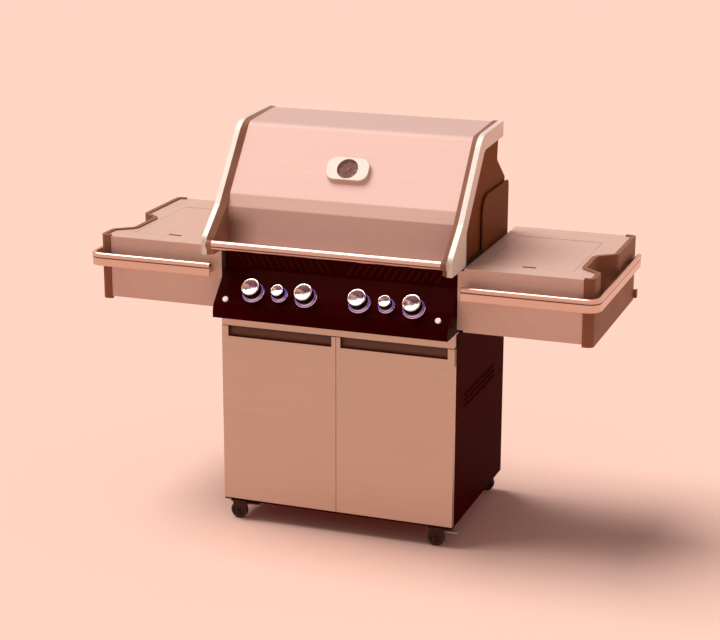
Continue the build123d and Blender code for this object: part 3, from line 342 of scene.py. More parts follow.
@dataclass(frozen=True)
class LidSteel(BrushedSteel):
    """Brushed lid sheet with painted shade on its tops and upright faces and a painted shadow at its low left
    corner.

    Attributes:
        top: factor on the colour of surfaces that face up, a painted shade.
        upright: factor on the colour of upright surfaces, a painted shade.
        painted_shadow: colour of the shadow painted at the low left corner.
    """

    top: float = 0.73
    upright: float = 0.82
    painted_shadow: Colour = (0.170, 0.058, 0.026)

    def sockets(self, bench: Bench) -> Feeds:
        """The sheet's sockets with the painted shade and the painted shadow mixed in.

        Args:
            bench: workbench for the nodes.

        Returns:
            Feeds by the sockets' names.
        """
        found = super().sockets(bench)
        x, _, z = bench.axes()
        upward = bench.facing_up()
        # Painted shade: faces that point up and upright faces are darkened by factors, standing in for how the
        # light falls on them.
        tone = bench.blend(upward.between(0.70, 0.95), found["Base Color"], shade(self.colour, self.top))
        tone = bench.blend(upward.between(0.10, 0.02), tone, shade(self.colour, self.upright))
        # Painted shadow: the low left corner, beside the left casting, turns towards a dark shadow colour.
        corner = x.between(-0.27, -0.375) * z.between(1.035, 0.995) * 0.85
        found["Base Color"] = bench.blend(corner, tone, self.painted_shadow)
        return found


@dataclass(frozen=True)
class SteelWithPaintedShade(BrushedSteel):
    """Brushed sheet with painted shade over one zone, darker towards the top of the zone.

    Attributes:
        paint: colour of the painted shade at the bottom of the zone.
        fade: factor on that colour at its top.
        behind: Y beyond which the zone lies, in metres.
        low: lowest height of the zone, in metres.
        high: highest height of the zone, in metres.
    """

    paint: Colour = (0.10, 0.04, 0.02)
    fade: float = 0.2
    behind: float = -1.0
    low: float = 0.0
    high: float = 2.0

    def sockets(self, bench: Bench) -> Feeds:
        """The sheet's sockets, with painted shade over the zone.

        Args:
            bench: workbench for the nodes.

        Returns:
            Feeds by the sockets' names.
        """
        found = super().sockets(bench)
        _, y, z = bench.axes()
        # Painted shade: inside the zone the colour turns dark, darker towards its top, and the metal turns dull.
        mask = (y > self.behind) * (z > self.low) * (z < self.high)
        rise = z.between((self.low + self.high) / 2, self.high)
        paint = bench.blend(rise, self.paint, shade(self.paint, self.fade))
        found["Base Color"] = bench.blend(mask, found["Base Color"], paint)
        found["Metallic"] = (1 - mask) * self.metallic
        return found


@dataclass(frozen=True)
class PowderCoat(Finish):
    """Dark baked coating with a fine texture, rounded at its edges and paler on its tops.

    Attributes:
        dust: how much paler the tops are.
        shine: strength of its reflections.
    """

    dust: float = 0.35
    shine: float = 0.15

    def sockets(self, bench: Bench) -> Feeds:
        """Texture in relief and gloss, cloudy tone, dust on tops.

        Args:
            bench: workbench for the nodes.

        Returns:
            Feeds by the sockets' names.
        """
        lumps, cloud = bench.noise(700.0, 1.0), bench.noise(7.0, 4.0)
        tops = bench.facing_up().between(0.3, 1.0) * self.dust
        tone = (cloud - 0.5) * 0.8 + lumps * 0.2 + 0.4
        dusty = tuple(part * 1.8 + 0.012 for part in self.colour)
        return {
            "Base Color": bench.blend(tops, self.tones(bench, tone.between(0, 1), 0.72, 1.30), dusty),
            "Roughness": self.gloss((lumps, 0.16), (cloud, 0.12)),
            "Normal": bench.bump(lumps, 0.00006, 0.0012),
            **warm_shine(self.shine),
        }


@dataclass(frozen=True)
class GlossEnamel(Finish):
    """Deep glossy enamel with a soft ripple and a few specks of dust."""

    def sockets(self, bench: Bench) -> Feeds:
        """Ripple in relief, specks in gloss, clear coat on top.

        Args:
            bench: workbench for the nodes.

        Returns:
            Feeds by the sockets' names.
        """
        cloud = bench.noise(5.0, 3.0)
        speck = bench.cells(260.0).between(0.10, 0.04) * 0.25
        body = self.tones(bench, cloud.between(0.3, 0.7), 0.85, 1.15)
        return {
            "Base Color": bench.blend(speck, body, tuple(part + 0.03 for part in self.colour)),
            "Roughness": speck + self.gloss((cloud, 0.10)),
            "Coat Weight": 0.004,
            "Coat Roughness": 0.10,
            "Normal": bench.bump(bench.noise(160.0, 1.0), 0.00004, 0.0015),
            **warm_shine(0.004),
        }


@dataclass(frozen=True)
class CastMetal(Finish):
    """Die-cast part with a bright satin rim and darker slanted sides, and painted light on the left casting's
    inner sides and on the flat outer sides.

    Attributes:
        side: colour of the inner slanted sides.
        flank: colour of the flat outer sides, a lighter colour as painted light.
        inner: X beyond which the casting is its rim, in metres.
        outer: X beyond which it is its flat outer side, in metres.
        edge: half the width of the change between them.
        metallic: share of mirror-like metal.
        left: factor on the inner sides of the left casting, that lightens them as painted light.
    """

    side: Colour = (0.1, 0.1, 0.1)
    flank: Colour = (0.1, 0.1, 0.1)
    inner: float = 0.390
    outer: float = 0.4066
    edge: float = 0.0006
    metallic: float = 0.5
    left: float = 1.45

    def sockets(self, bench: Bench) -> Feeds:
        """Rim and sides split by place, with a cast texture, soft edges and painted light on the left inner sides
        and the outer sides.

        Args:
            bench: workbench for the nodes.

        Returns:
            Feeds by the sockets' names.
        """
        across = bench.axes()[0]
        rim = abs(across).between(self.inner - self.edge, self.inner + self.edge)
        lumps, cloud = bench.noise(420.0, 2.0), bench.noise(12.0, 3.0)
        tone = ((lumps - 0.5) * 0.5 + cloud).between(0.2, 0.9)
        # worn and clean are the side colour made darker and lighter by random tone; on the left casting both also
        # carry painted light, by the factor left, as those sides lie in shade.
        worn, clean = (
            bench.blend(across < 0, shade(self.side, factor), shade(self.side, factor * self.left))
            for factor in (0.75, 1.25)
        )
        # Painted light: the flat outer sides get their own lighter colour, flank.
        faces = bench.blend(abs(across) > self.outer, self.tones(bench, tone, 0.88, 1.08), self.flank)
        return {
            "Base Color": bench.blend(rim, bench.blend(tone, worn, clean), faces),
            "Metallic": rim * self.metallic,
            "Roughness": self.gloss((lumps, 0.14), (cloud, 0.10)),
            "Normal": bench.bump(lumps, 0.00005, 0.0015),
            **warm_shine(0.15),
        }


@dataclass(frozen=True)
class MouldedPlastic(Finish):
    """Injection-moulded plastic with a spark-eroded grain."""

    def sockets(self, bench: Bench) -> Feeds:
        """Grain in relief and gloss, streaks of scuffing.

        Args:
            bench: workbench for the nodes.

        Returns:
            Feeds by the sockets' names.
        """
        lumps = bench.noise(1100.0, 1.0)
        scuff = bench.noise(1.0, 2.0, bench.place((40, 400, 400))).between(0.66, 0.80)
        body = self.tones(bench, bench.noise(9.0, 3.0).between(0.25, 0.75), 0.86, 1.14)
        return {
            "Base Color": bench.blend(scuff * 0.35, body, shade(self.colour, 1.6)),
            "Roughness": scuff * 0.10 + self.gloss((lumps, 0.20)),
            "Normal": bench.bump(lumps, 0.00008, 0.0015),
            **warm_shine(0.30),
        }


@dataclass(frozen=True)
class Plated(Finish):
    """Bright plated metal with a few wiping marks.

    Attributes:
        smear: how much the marks dull the gloss.
    """

    smear: float = 0.08

    def sockets(self, bench: Bench) -> Feeds:
        """Wiping marks in gloss and a hint of tone.

        Args:
            bench: workbench for the nodes.

        Returns:
            Feeds by the sockets' names.
        """
        cloud = bench.noise(60.0, 3.0)
        return {
            "Base Color": self.tones(bench, cloud.between(0.3, 0.7), 0.93, 1.04),
            "Metallic": 1.0,
            "Roughness": cloud.between(0.45, 0.75) * self.smear + self.roughness,
            "Normal": bench.bump(bench.noise(900.0, 1.0), 0.000004),
        }


@dataclass(frozen=True)
class FaceChrome(Plated):
    """Plated knob face with a painted lilac reflection and a painted dark arc over its upper half.

    Attributes:
        painted_reflection: colour of the reflection painted on the upper half of the face.
        middle: middle of the face, in metres.
        reach: radius of the face, in metres.
    """

    painted_reflection: Colour = (0.300, 0.230, 0.370)
    middle: Vector = Vector()
    reach: float = 0.030

    def sockets(self, bench: Bench) -> Feeds:
        """The plating's sockets with the painted reflection and its dark arc mixed in by place.

        Args:
            bench: workbench for the nodes.

        Returns:
            Feeds by the sockets' names.
        """
        found = super().sockets(bench)
        x, _, z = bench.axes()
        height = z - self.middle.z + (x - self.middle.x) * 0.3
        ends = {0: bench.here, 1: self.middle}
        apart = bench.output("ShaderNodeVectorMath", {"operation": "DISTANCE"}, ends, "Value")
        apart = apart * (1 / self.reach)
        # Painted reflection: a lilac patch over the upper half of the face, rimmed by a darker arc.
        upper = height.between(-0.002, 0.002)
        arc = upper * apart.between(0.56, 0.64) * apart.between(0.78, 0.70)
        toned = bench.blend(upper * apart.between(0.62, 0.56), found["Base Color"], self.painted_reflection)
        found["Base Color"] = bench.blend(arc, toned, shade(self.painted_reflection, 0.3))
        return found


@dataclass(frozen=True)
class TyreRubber(Finish):
    """Dull rubber with floor dust in its pores."""

    def sockets(self, bench: Bench) -> Feeds:
        """Pores in relief and a dusty tone.

        Args:
            bench: workbench for the nodes.

        Returns:
            Feeds by the sockets' names.
        """
        pores = bench.noise(800.0, 2.0)
        dust = bench.noise(45.0, 4.0).between(0.45, 0.75) * 0.5
        return {
            "Base Color": bench.blend(dust, self.colour, tuple(part * 2.0 + 0.02 for part in self.colour)),
            "Roughness": self.gloss((pores, 0.15)),
            "Normal": bench.bump(pores, 0.00012),
        }


@dataclass(frozen=True)
class CastIron(Finish):
    """Seasoned cast iron, coarse and slightly oily."""

    def sockets(self, bench: Bench) -> Feeds:
        """Sand-cast grain in relief, oily patches in gloss, a trace of rust.

        Args:
            bench: workbench for the nodes.

        Returns:
            Feeds by the sockets' names.
        """
        sand = bench.noise(520.0, 3.0)
        rust = bench.noise(70.0, 4.0).between(0.68, 0.82) * 0.3
        return {
            "Base Color": bench.blend(rust, self.tones(bench, sand, 0.6, 1.4), (0.075, 0.026, 0.012)),
            "Metallic": 0.4,
            "Roughness": self.gloss((bench.noise(30.0, 3.0), 0.35)),
            "Normal": bench.bump(sand, 0.0002),
        }


@dataclass(frozen=True)
class HeatedSteel(Finish):
    """Steel that has been hot: straw and blue tints with soot.

    Attributes:
        soot: how much soot there is.
        tints: stops of the tints and their factors on red, green and blue.
    """

    soot: float = 0.5
    tints: Sequence[tuple[float, Triple]] = (
        (0.28, (1.0, 1.0, 1.0)), (0.45, (1.0, 0.90, 0.78)),
        (0.60, (0.88, 0.76, 0.74)), (0.75, (0.80, 0.78, 0.84)),
    )

    def sockets(self, bench: Bench) -> Feeds:
        """Tints by cloud, soot by a finer cloud, grease specks in gloss.

        Args:
            bench: workbench for the nodes.

        Returns:
            Feeds by the sockets' names.
        """
        stops = [(stop, tuple(a * b for a, b in zip(self.colour, tint))) for stop, tint in self.tints]
        tinted = bench.output("ShaderNodeValToRGB", {"stops": stops}, {"Fac": bench.noise(6.0, 3.0)})
        black = bench.noise(24.0, 5.0).between(0.45, 0.72) * self.soot
        fine = bench.noise(350.0, 2.0)
        return {
            "Base Color": bench.blend(black, tinted, (0.022, 0.014, 0.010)),
            "Metallic": (1 - black) * 0.9,
            "Roughness": black * 0.30 + self.gloss((fine, 0.14)),
            "Normal": bench.bump(fine, 0.00005),
        }


@dataclass(frozen=True)
class Spangled(Finish):
    """Zinc-plated steel with faint crystals."""

    def sockets(self, bench: Bench) -> Feeds:
        """Crystals in tone and gloss.

        Args:
            bench: workbench for the nodes.

        Returns:
            Feeds by the sockets' names.
        """
        crystal = bench.noise(900.0, 0.0, bench.cells(320.0, "Position"))
        return {
            "Base Color": self.tones(bench, crystal, 0.80, 1.20),
            "Metallic": 0.9,
            "Roughness": self.gloss((crystal, 0.18)),
            "Normal": bench.bump(bench.noise(600.0, 2.0), 0.00002, 0.0006),
        }


@dataclass(frozen=True)
class ClearGlass(Finish):
    """Thin clear window with a light haze.

    Attributes:
        alpha: how much of it shows.
    """

    alpha: float = 0.14

    def sockets(self, bench: Bench) -> Feeds:
        """Haze in gloss over an almost clear pane.

        Args:
            bench: workbench for the nodes.

        Returns:
            Feeds by the sockets' names.
        """
        return {
            "Base Color": self.colour,
            "Alpha": self.alpha,
            "Roughness": bench.noise(120.0, 2.0).between(0.5, 0.8) * 0.10 + self.roughness,
            "Coat Weight": 0.3,
        }


@dataclass(frozen=True)
class LitRing(Finish):
    """Part that glows unevenly: the light guides round the knobs, and the buttons, whose glow is painted light.

    Attributes:
        strength: brightness of the glow.
    """

    strength: float = 1.0

    def sockets(self, bench: Bench) -> Feeds:
        """Glow that is stronger in places.

        Args:
            bench: workbench for the nodes.

        Returns:
            Feeds by the sockets' names.
        """
        return {
            "Base Color": self.colour,
            "Emission Color": self.tones(bench, bench.noise(70.0, 1.0).between(0.3, 0.7), 0.5, 1.0),
            "Emission Strength": self.strength,
            "Roughness": self.roughness,
        }


@dataclass(frozen=True)
class PrintedPaint(Finish):
    """Thin screen-printed paint with a slightly uneven coat."""

    def sockets(self, bench: Bench) -> Feeds:
        """Uneven coat in tone and relief.

        Args:
            bench: workbench for the nodes.

        Returns:
            Feeds by the sockets' names.
        """
        coat = bench.noise(1500.0, 2.0)
        return {
            "Base Color": self.tones(bench, coat, 0.85, 1.10),
            "Roughness": self.gloss((coat, 0.10)),
            "Normal": bench.bump(coat, 0.00001),
        }


@dataclass(frozen=True)
class BurnerTile(Finish):
    """Ceramic burner face with rows of small holes inside a steel frame.

    Attributes:
        pitch: distance between holes in metres.
    """

    pitch: float = 0.006

    def sockets(self, bench: Bench) -> Feeds:
        """Rows of dark holes in colour and relief, scorched in places.

        Args:
            bench: workbench for the nodes.

        Returns:
            Feeds by the sockets' names.
        """
        x, _, z = bench.axes(bench.place((1 / self.pitch,) * 3))
        across, up = (abs(bench.math("FRACT", part) - 0.5) for part in (x, z))
        hole = bench.math("MAXIMUM", across, up).between(0.30, 0.20)
        clay = self.tones(bench, bench.noise(14.0, 4.0).between(0.40, 0.75), 1.0, 0.45)
        return {
            "Base Color": bench.blend(hole, clay, (0.020, 0.010, 0.006)),
            "Roughness": self.roughness,
            "Normal": bench.bump(1 - hole, 0.0006),
        }


@dataclass(frozen=True)
class StudioPaper(Finish):
    """Matt floor paper with a trace of warm light in its shadows."""

    def sockets(self, bench: Bench) -> Feeds:
        """Faint clouds in tone, no reflections.

        Args:
            bench: workbench for the nodes.

        Returns:
            Feeds by the sockets' names.
        """
        return {
            "Base Color": self.tones(bench, bench.noise(0.6, 2.0), 0.992, 1.004),
            "Roughness": self.roughness,
            "Specular IOR Level": 0.0,
            "Emission Color": (1.0, 0.05, 0.0),
            "Emission Strength": 0.04,
        }


FRONT_COLOUR = (0.530, 0.410, 0.340)
FACE_COLOUR = (0.90, 0.84, 0.84)
FINISHES: dict[str, Finish] = {finish.name: finish for finish in (
    LidSteel("lid_steel", (0.840, 0.590, 0.520), 0.72, metallic=0.28),
    BrushedSteel("front_steel", FRONT_COLOUR, 0.42),
    BrushedSteel("shelf_steel", (0.665, 0.450, 0.372), 0.50, Grain.ALONG_Y, metallic=0.25),
    # Rail and handle: a thin stripe of painted shade, along the rail's crease under its bead and across the middle
    # of the handle.
    SteelWithPaintedShade(
        "rail_steel", (0.660, 0.470, 0.390), 0.28, paint=(0.160, 0.060, 0.030), low=0.8505, high=0.8545
    ),
    SteelWithPaintedShade(
        "handle_steel", (0.660, 0.465, 0.395), 0.24, paint=(0.220, 0.095, 0.055), low=0.9415, high=0.9465
    ),
    # Casting: the last colour, for the flat outer sides, is painted light.
    CastMetal(
        "rim_casting", (0.760, 0.710, 0.640), 0.54, (0.270, 0.125, 0.080), (0.860, 0.790, 0.700), metallic=0.3
    ),
    PowderCoat("hood_enamel", (0.225, 0.062, 0.018), 0.50, shine=0.02),
    PowderCoat("cart_enamel", (0.052, 0.0016, 0.0004), 0.48, dust=0.10, shine=0.003),
    GlossEnamel("panel_enamel", (0.034, 0.0007, 0.0003), 0.34),
    MouldedPlastic("cap_plastic", (0.262, 0.110, 0.060), 0.55),
    Plated("knob_chrome", (0.86, 0.82, 0.86), 0.07),
    Plated("bezel_chrome", (0.70, 0.64, 0.82), 0.12),
    # Buttons: their glow is painted light; they are no lamps.
    LitRing("button_plastic", (0.950, 0.800, 0.700), 0.35, 0.22),
    BrushedSteel("gauge_metal", (0.660, 0.560, 0.490), 0.50, streaks=0.5, metallic=0.4),
    PrintedPaint("dial_paint", (0.180, 0.060, 0.038), 0.60),
    PrintedPaint("needle_paint", (0.560, 0.100, 0.060), 0.45),
    ClearGlass("dial_glass", (0.45, 0.25, 0.20), 0.03, 0.06),
    TyreRubber("tyre_rubber", (0.026, 0.006, 0.003), 0.70),
    Spangled("caster_zinc", (0.050, 0.024, 0.016), 0.42),
    MouldedPlastic("pedal_plastic", (0.560, 0.400, 0.310), 0.50),
    HeatedSteel("box_steel", (0.300, 0.215, 0.170), 0.46, 0.25),
    HeatedSteel("burner_steel", (0.420, 0.330, 0.270), 0.38, 0.3),
    CastIron("grate_iron", (0.045, 0.032, 0.027), 0.52),
    Plated("rack_chrome", (0.72, 0.64, 0.58), 0.18),
    Plated("valve_brass", (0.62, 0.40, 0.16), 0.28, 0.15),
    Spangled("manifold_steel", (0.360, 0.290, 0.250), 0.40),
)}
# Doors: painted shade in the pull recess under the header, darkest at its top.
DOOR_STEEL = SteelWithPaintedShade(
    "door_steel", FRONT_COLOUR, 0.42, paint=(0.190, 0.052, 0.018), fade=0.1, behind=-0.2445, low=0.604,
    high=0.662,
)
GLOW = LitRing("bezel_glow", (0.10, 0.045, 0.42), 0.30, 0.8)
# Panel ribs: the panel's black enamel made lighter, a painted highlight on the ribs.
RIB_ENAMEL = GlossEnamel("rib_enamel", (0.050, 0.007, 0.004), 0.34)
SCALE_PAINT = PrintedPaint("scale_paint", (0.700, 0.520, 0.440), 0.50)
POINTER_PAINT = PrintedPaint("pointer_paint", (0.050, 0.030, 0.050), 0.40)
TILE = BurnerTile("burner_tile", (0.330, 0.210, 0.150), 0.85)
# Knob skirts: chrome made dark, a painted reflection of the black panel.
SKIRT_CHROME = Plated("skirt_chrome", (0.16, 0.12, 0.15), 0.22)
HUB_GREY = MouldedPlastic("hub_grey", (0.060, 0.030, 0.022), 0.50)


# ---- Mesh workbench --------------------------------------------------------------------------
def verts_of(items: Iterable[Any]) -> list[bmesh.types.BMVert]:
    """The corners among the parts of a mesh."""
    return [item for item in items if isinstance(item, bmesh.types.BMVert)]


def in_scene(name: str, data: bpy.types.ID) -> bpy.types.Object:
    """A new object of some data, linked to the scene.

    Args:
        name: name of the object.
        data: mesh, light or camera.

    Returns:
        The object.
    """
    made = bpy.data.objects.new(name, data)
    bpy.context.scene.collection.objects.link(made)
    return made


class Shape:
    """A mesh in the making, drawn in millimetres and kept in metres.

    Attributes:
        sharp: edges that turn by more are rounded by softened, degrees.
        smooth: edges that turn by less are shaded smooth, degrees.
    """

    sharp = 30.0
    smooth = 35.0

    def __init__(self) -> None:
        """Start empty."""
        self.mesh = bmesh.new()

    @classmethod
    def turned(cls, profile: Outline, steps: int, closed: bool = False) -> "Shape":
        """Spin a profile about Z.

        Args:
            profile: (radius, height) points.
            steps: facets around.
            closed: whether the last point joins the first.

        Returns:
            The turned shape.
        """
        shape = cls()
        points = [shape.mesh.verts.new((radius * MM, 0, height * MM)) for radius, height in profile]
        pairs = list(zip(points, points[1:])) + ([(points[-1], points[0])] if closed else [])
        edges = [shape.mesh.edges.new(pair) for pair in pairs]
        bmesh.ops.spin(
            shape.mesh, geom=points + edges, cent=(0, 0, 0), axis=(0, 0, 1), dvec=(0, 0, 0),
            angle=math.tau, steps=steps, use_merge=True, use_duplicate=False,
        )
        return shape.clean()

    @classmethod
    def plate(cls, outline: Outline, thickness: float) -> "Shape":
        """Extrude a flat outline along Z from 0.

        Args:
            outline: (x, y) corners, anticlockwise.
            thickness: height of the plate.

        Returns:
            The plate.
        """
        shape = cls()
        face = shape.mesh.faces.new([shape.mesh.verts.new((x * MM, y * MM, 0)) for x, y in outline])
        grown = bmesh.ops.extrude_face_region(shape.mesh, geom=[face], use_keep_orig=True)
        bmesh.ops.translate(shape.mesh, verts=verts_of(grown["geom"]), vec=(0, 0, thickness * MM))
        return shape.clean()

    @classmethod
    def block(cls, low: Triple, high: Triple) -> "Shape":
        """Block between two corners.

        Args:
            low: corner with the lowest coordinates.
            high: corner with the highest ones.

        Returns:
            The block.
        """
        shape = cls()
        bmesh.ops.create_cube(shape.mesh, size=1.0)
        size, middle = Vector(high) - Vector(low), (Vector(high) + Vector(low)) / 2
        bmesh.ops.scale(shape.mesh, vec=size * MM, verts=shape.mesh.verts)
        bmesh.ops.translate(shape.mesh, vec=middle * MM, verts=shape.mesh.verts)
        return shape

    def clean(self) -> "Shape":
        """Merge doubles and point the faces outwards.

        Returns:
            This shape.
        """
        bmesh.ops.remove_doubles(self.mesh, verts=self.mesh.verts, dist=1e-7)
        bmesh.ops.recalc_face_normals(self.mesh, faces=self.mesh.faces)
        return self

    def softened(self, width: float, segments: int = 2) -> "Shape":
        """Round the sharp edges.

        Args:
            width: width of the rounding.
            segments: facets across it.

        Returns:
            This shape.
        """
        limit = math.radians(self.sharp)
        edges = [edge for edge in self.mesh.edges if edge.calc_face_angle(0.0) > limit]
        bmesh.ops.bevel(
            self.mesh, geom=edges, offset=width * MM, offset_type="OFFSET", segments=segments,
            profile=0.5, affect="EDGES", clamp_overlap=True, material=-1,
        )
        return self

    def placed(self, matrix: Matrix) -> "Shape":
        """Move the whole shape with a matrix, and return it."""
        bmesh.ops.transform(self.mesh, matrix=matrix, verts=self.mesh.verts)
        return self

    def repeated(self, places: Iterable[Matrix]) -> "Shape":
        """A copy of the shape at each place, without the first one.

        Args:
            places: where the copies go.

        Returns:
            This shape, now made of the copies.
        """
        original = self.mesh.verts[:] + self.mesh.edges[:] + self.mesh.faces[:]
        for place in places:
            made = bmesh.ops.duplicate(self.mesh, geom=original)["geom"]
            bmesh.ops.transform(self.mesh, matrix=place, verts=verts_of(made))
        bmesh.ops.delete(self.mesh, geom=verts_of(original), context="VERTS")
        return self

    def joined(self, other: "Shape") -> "Shape":
        """Take another shape in.

        Args:
            other: shape that ends up in this one.

        Returns:
            This shape.
        """
        carrier = bpy.data.meshes.new("carrier")
        other.mesh.to_mesh(carrier)
        other.mesh.free()
        self.mesh.from_mesh(carrier)
        bpy.data.meshes.remove(carrier)
        return self

    def made(self, name: str, finish: Finish) -> bpy.types.Object:
        """Turn the shape into an object.

        Args:
            name: name of the object.
            finish: its finish.

        Returns:
            The object.
        """
        data = bpy.data.meshes.new(name)
        self.mesh.to_mesh(data)
        self.mesh.free()
        data.materials.append(finish.material())
        return in_scene(name, data)

    def piece(self, name: str, finish: Finish, body: str = "cart", slot: str = "",
              replaces: Sequence[str] = ()) -> None:
        """Turn the shape into a finished object that rides on a body.

        Args:
            name: name of the object.
            finish: its finish.
            body: body that carries it.
            slot: material slot of the record, where the finish isn't named after it; not used.
            replaces: nodes that it stands for.
        """
        limit = math.radians(self.smooth)
        for edge in self.mesh.edges:
            edge.smooth = edge.calc_face_angle(math.pi) < limit
        for face in self.mesh.faces:
            face.smooth = True
        made = self.made(name, finish)
        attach(made, body)
        if replaces:
            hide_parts(*replaces)
        log.info("piece %s: %d faces, on %s", name, len(made.data.polygons), body)


def mirrored(upper: Outline) -> Outline:
    """A profile followed by its mirror image below Z = 0."""
    return [*upper, *((radius, -height) for radius, height in reversed(upper))]


def spot(place: Iterable[float], normal: Iterable[float] = (0, 0, 1)) -> Matrix:
    """Matrix that puts a shape's origin at a place, its Z along a direction and its Y upwards.

    Args:
        place: new origin, in metres.
        normal: new Z.

    Returns:
        The matrix.
    """
    z = Vector(normal).normalized()
    up = Vector((0, 0, 1))
    lean = up - z * up.dot(z)
    y = (lean if lean.length > 1e-6 else z.orthogonal()).normalized()
    turn = Matrix((y.cross(z), y, z)).transposed().to_4x4()
    return Matrix.Translation(Vector(place)) @ turn


def joint(name: str) -> tuple[Vector, Vector]:
    """Place in metres and axis of a joint."""
    found = next(item for item in frame["joints"] if item["name"] == name)
    return Vector(found["pos_m"]), Vector(found["axis"]).normalized()


def dress(nodes: Iterable[str], finish: Finish) -> None:
    """Give CAD nodes a finish through their material slots.

    Args:
        nodes: names of the nodes.
        finish: their finish.
    """
    material = finish.material()
    for name in nodes:
        data = frame["nodes"][name].data
        if not data.materials:
            data.materials.append(material)
        for index in range(len(data.materials)):
            data.materials[index] = material
        log.info("node %s: %s", name, finish.name)


# ---- Sub-assemblies --------------------------------------------------------------------------
@dataclass
class Screws:
    """Screw heads of one size.

    Attributes:
        radius: radius of the head.
        height: height of the head.
        style: shape of the head.
    """

    radius: float = 4.0
    height: float = 2.0
    style: HeadStyle = HeadStyle.PAN

    def head(self) -> Shape:
        """One head standing on Z = 0.

        Returns:
            The head.
        """
        r, h = self.radius, self.height
        if self.style is HeadStyle.PAN:
            dome = ((0, 0.62), (0.42, 0.62), (0.50, 1), (0.74, 0.86), (0.95, 0.45), (1, 0))
            return Shape.turned([(r * out, h * up) for out, up in dome], 16)
        washer = Shape.turned([(0, h * 0.35), (r, h * 0.35), (r, 0)], 20)
        angles = [math.radians(60 * corner) for corner in range(6)]
        nut = [(0.72 * r * math.cos(angle), 0.72 * r * math.sin(angle)) for angle in angles]
        return washer.joined(Shape.plate(nut, h).softened(0.2, 1))

    def set(self, name: str, places: Sequence[Matrix], finish: Finish, body: str = "cart",
            slot: str = "") -> None:
        """Put a head at each place, all as one piece."""
        self.head().repeated(places).piece(name, finish, body, slot)


@dataclass
class Knobs:
    """The six control knobs with their bezels and lit rings.

    Attributes:
        big: numbers of the large knobs.
        large: radius and height of a large knob, and radius of its bezel.
        small: the same of a small knob.
        bezel_height: height of a bezel.
        clearance: gap between bezel and knob.
    """

    big: tuple[int, ...] = (1, 3, 4, 6)
    large: Triple = (30.5, 29.0, 36.0)
    small: Triple = (21.5, 24.0, 27.0)
    bezel_height: float = 9.0
    clearance: float = 0.6

    def sizes(self, number: int) -> Triple:
        """Radius and height of a knob and the radius of its bezel."""
        return self.large if number in self.big else self.small

    def knob(self, number: int) -> None:
        """Spun skirt, dished face and pointer of one knob.

        Args:
            number: which knob, from the left.
        """
        radius, height, _ = self.sizes(number)
        place, axis = joint(f"knob_{number}_turn")
        seat = spot(place + axis * ((self.bezel_height + self.clearance) * MM), axis)
        neck = (radius - 1.3, height - 3.4)
        skirt = [
            (0, 0), (radius - 2, 0), (radius, 0.6), (radius, 2.4), (radius - 0.7, 3.2), neck, (0, neck[1])
        ]
        crown = [(0, neck[1]), neck]
        for angle in (math.radians(22.5 * step) for step in range(5)):
            crown.append((radius - 3.9 + 2.4 * math.cos(angle), height - 2.4 + 2.4 * math.sin(angle)))
        for share in (1 - step / 6 for step in range(1, 7)):
            crown.append(((radius - 3.4) * share, height - 2.2 * (1 - share ** 2) - 0.3))
        middle = seat @ Vector((0, 0, height * MM))
        chrome = FaceChrome(f"knob_face_{number}", FACE_COLOUR, 0.10, middle=middle, reach=radius * MM)
        bar = Shape.block((-1.1, radius * 0.12, height - 2.6), (1.1, radius * 0.74, height - 0.9))
        # The skirt's dark chrome is a painted reflection of the black panel.
        parts = (
            ("skirt", Shape.turned(skirt, 72), SKIRT_CHROME, [f"knob_{number}"]),
            ("face", Shape.turned(crown, 72), chrome, [f"knob_{number}"]),
            ("pointer", bar.softened(0.4), POINTER_PAINT, []),
        )
        body = f"control_{number}"
        for part, shape, finish, replaced in parts:
            shape.placed(seat).piece(f"knob_{number}_{part}", finish, body, "knob_chrome", replaced)

    def rings(self, name: str, finish: Finish, profile: Outline, replaces: Sequence[str] = ()) -> None:
        """A ring of one profile round each knob, all as one piece.

        Args:
            name: name of the piece.
            finish: its finish.
            profile: points as distance inside the bezel's radius and height.
            replaces: nodes that it stands for.
        """
        whole = Shape()
        for number in range(1, 7):
            radius = self.sizes(number)[2]
            ring = Shape.turned([(radius - inset, height) for inset, height in profile], 64, closed=True)
            whole.joined(ring.placed(spot(*joint(f"knob_{number}_turn"))))
        whole.piece(name, finish, slot="bezel_chrome", replaces=replaces)

    def build(self) -> None:
        """Make all knobs, the coved rings under them and the light guides in these."""
        for number in range(1, 7):
            self.knob(number)
        h = self.bezel_height
        cove = [(0, 0), (0, 1.6), (0.8, 2.4), (2.2, 3.2), (3.6, 5.0), (4.4, 7.4), (5.0, h - 0.4), (5.6, h)]
        self.rings("knob_bezel_rings", FINISHES["bezel_chrome"], [*cove, (11, h), (11, 0)], ["knob_bezels"])
        self.rings("knob_light_rings", GLOW, [(2.3, 3.1), (1.6, 3.5), (2.6, 5.2), (3.7, 5.0)])


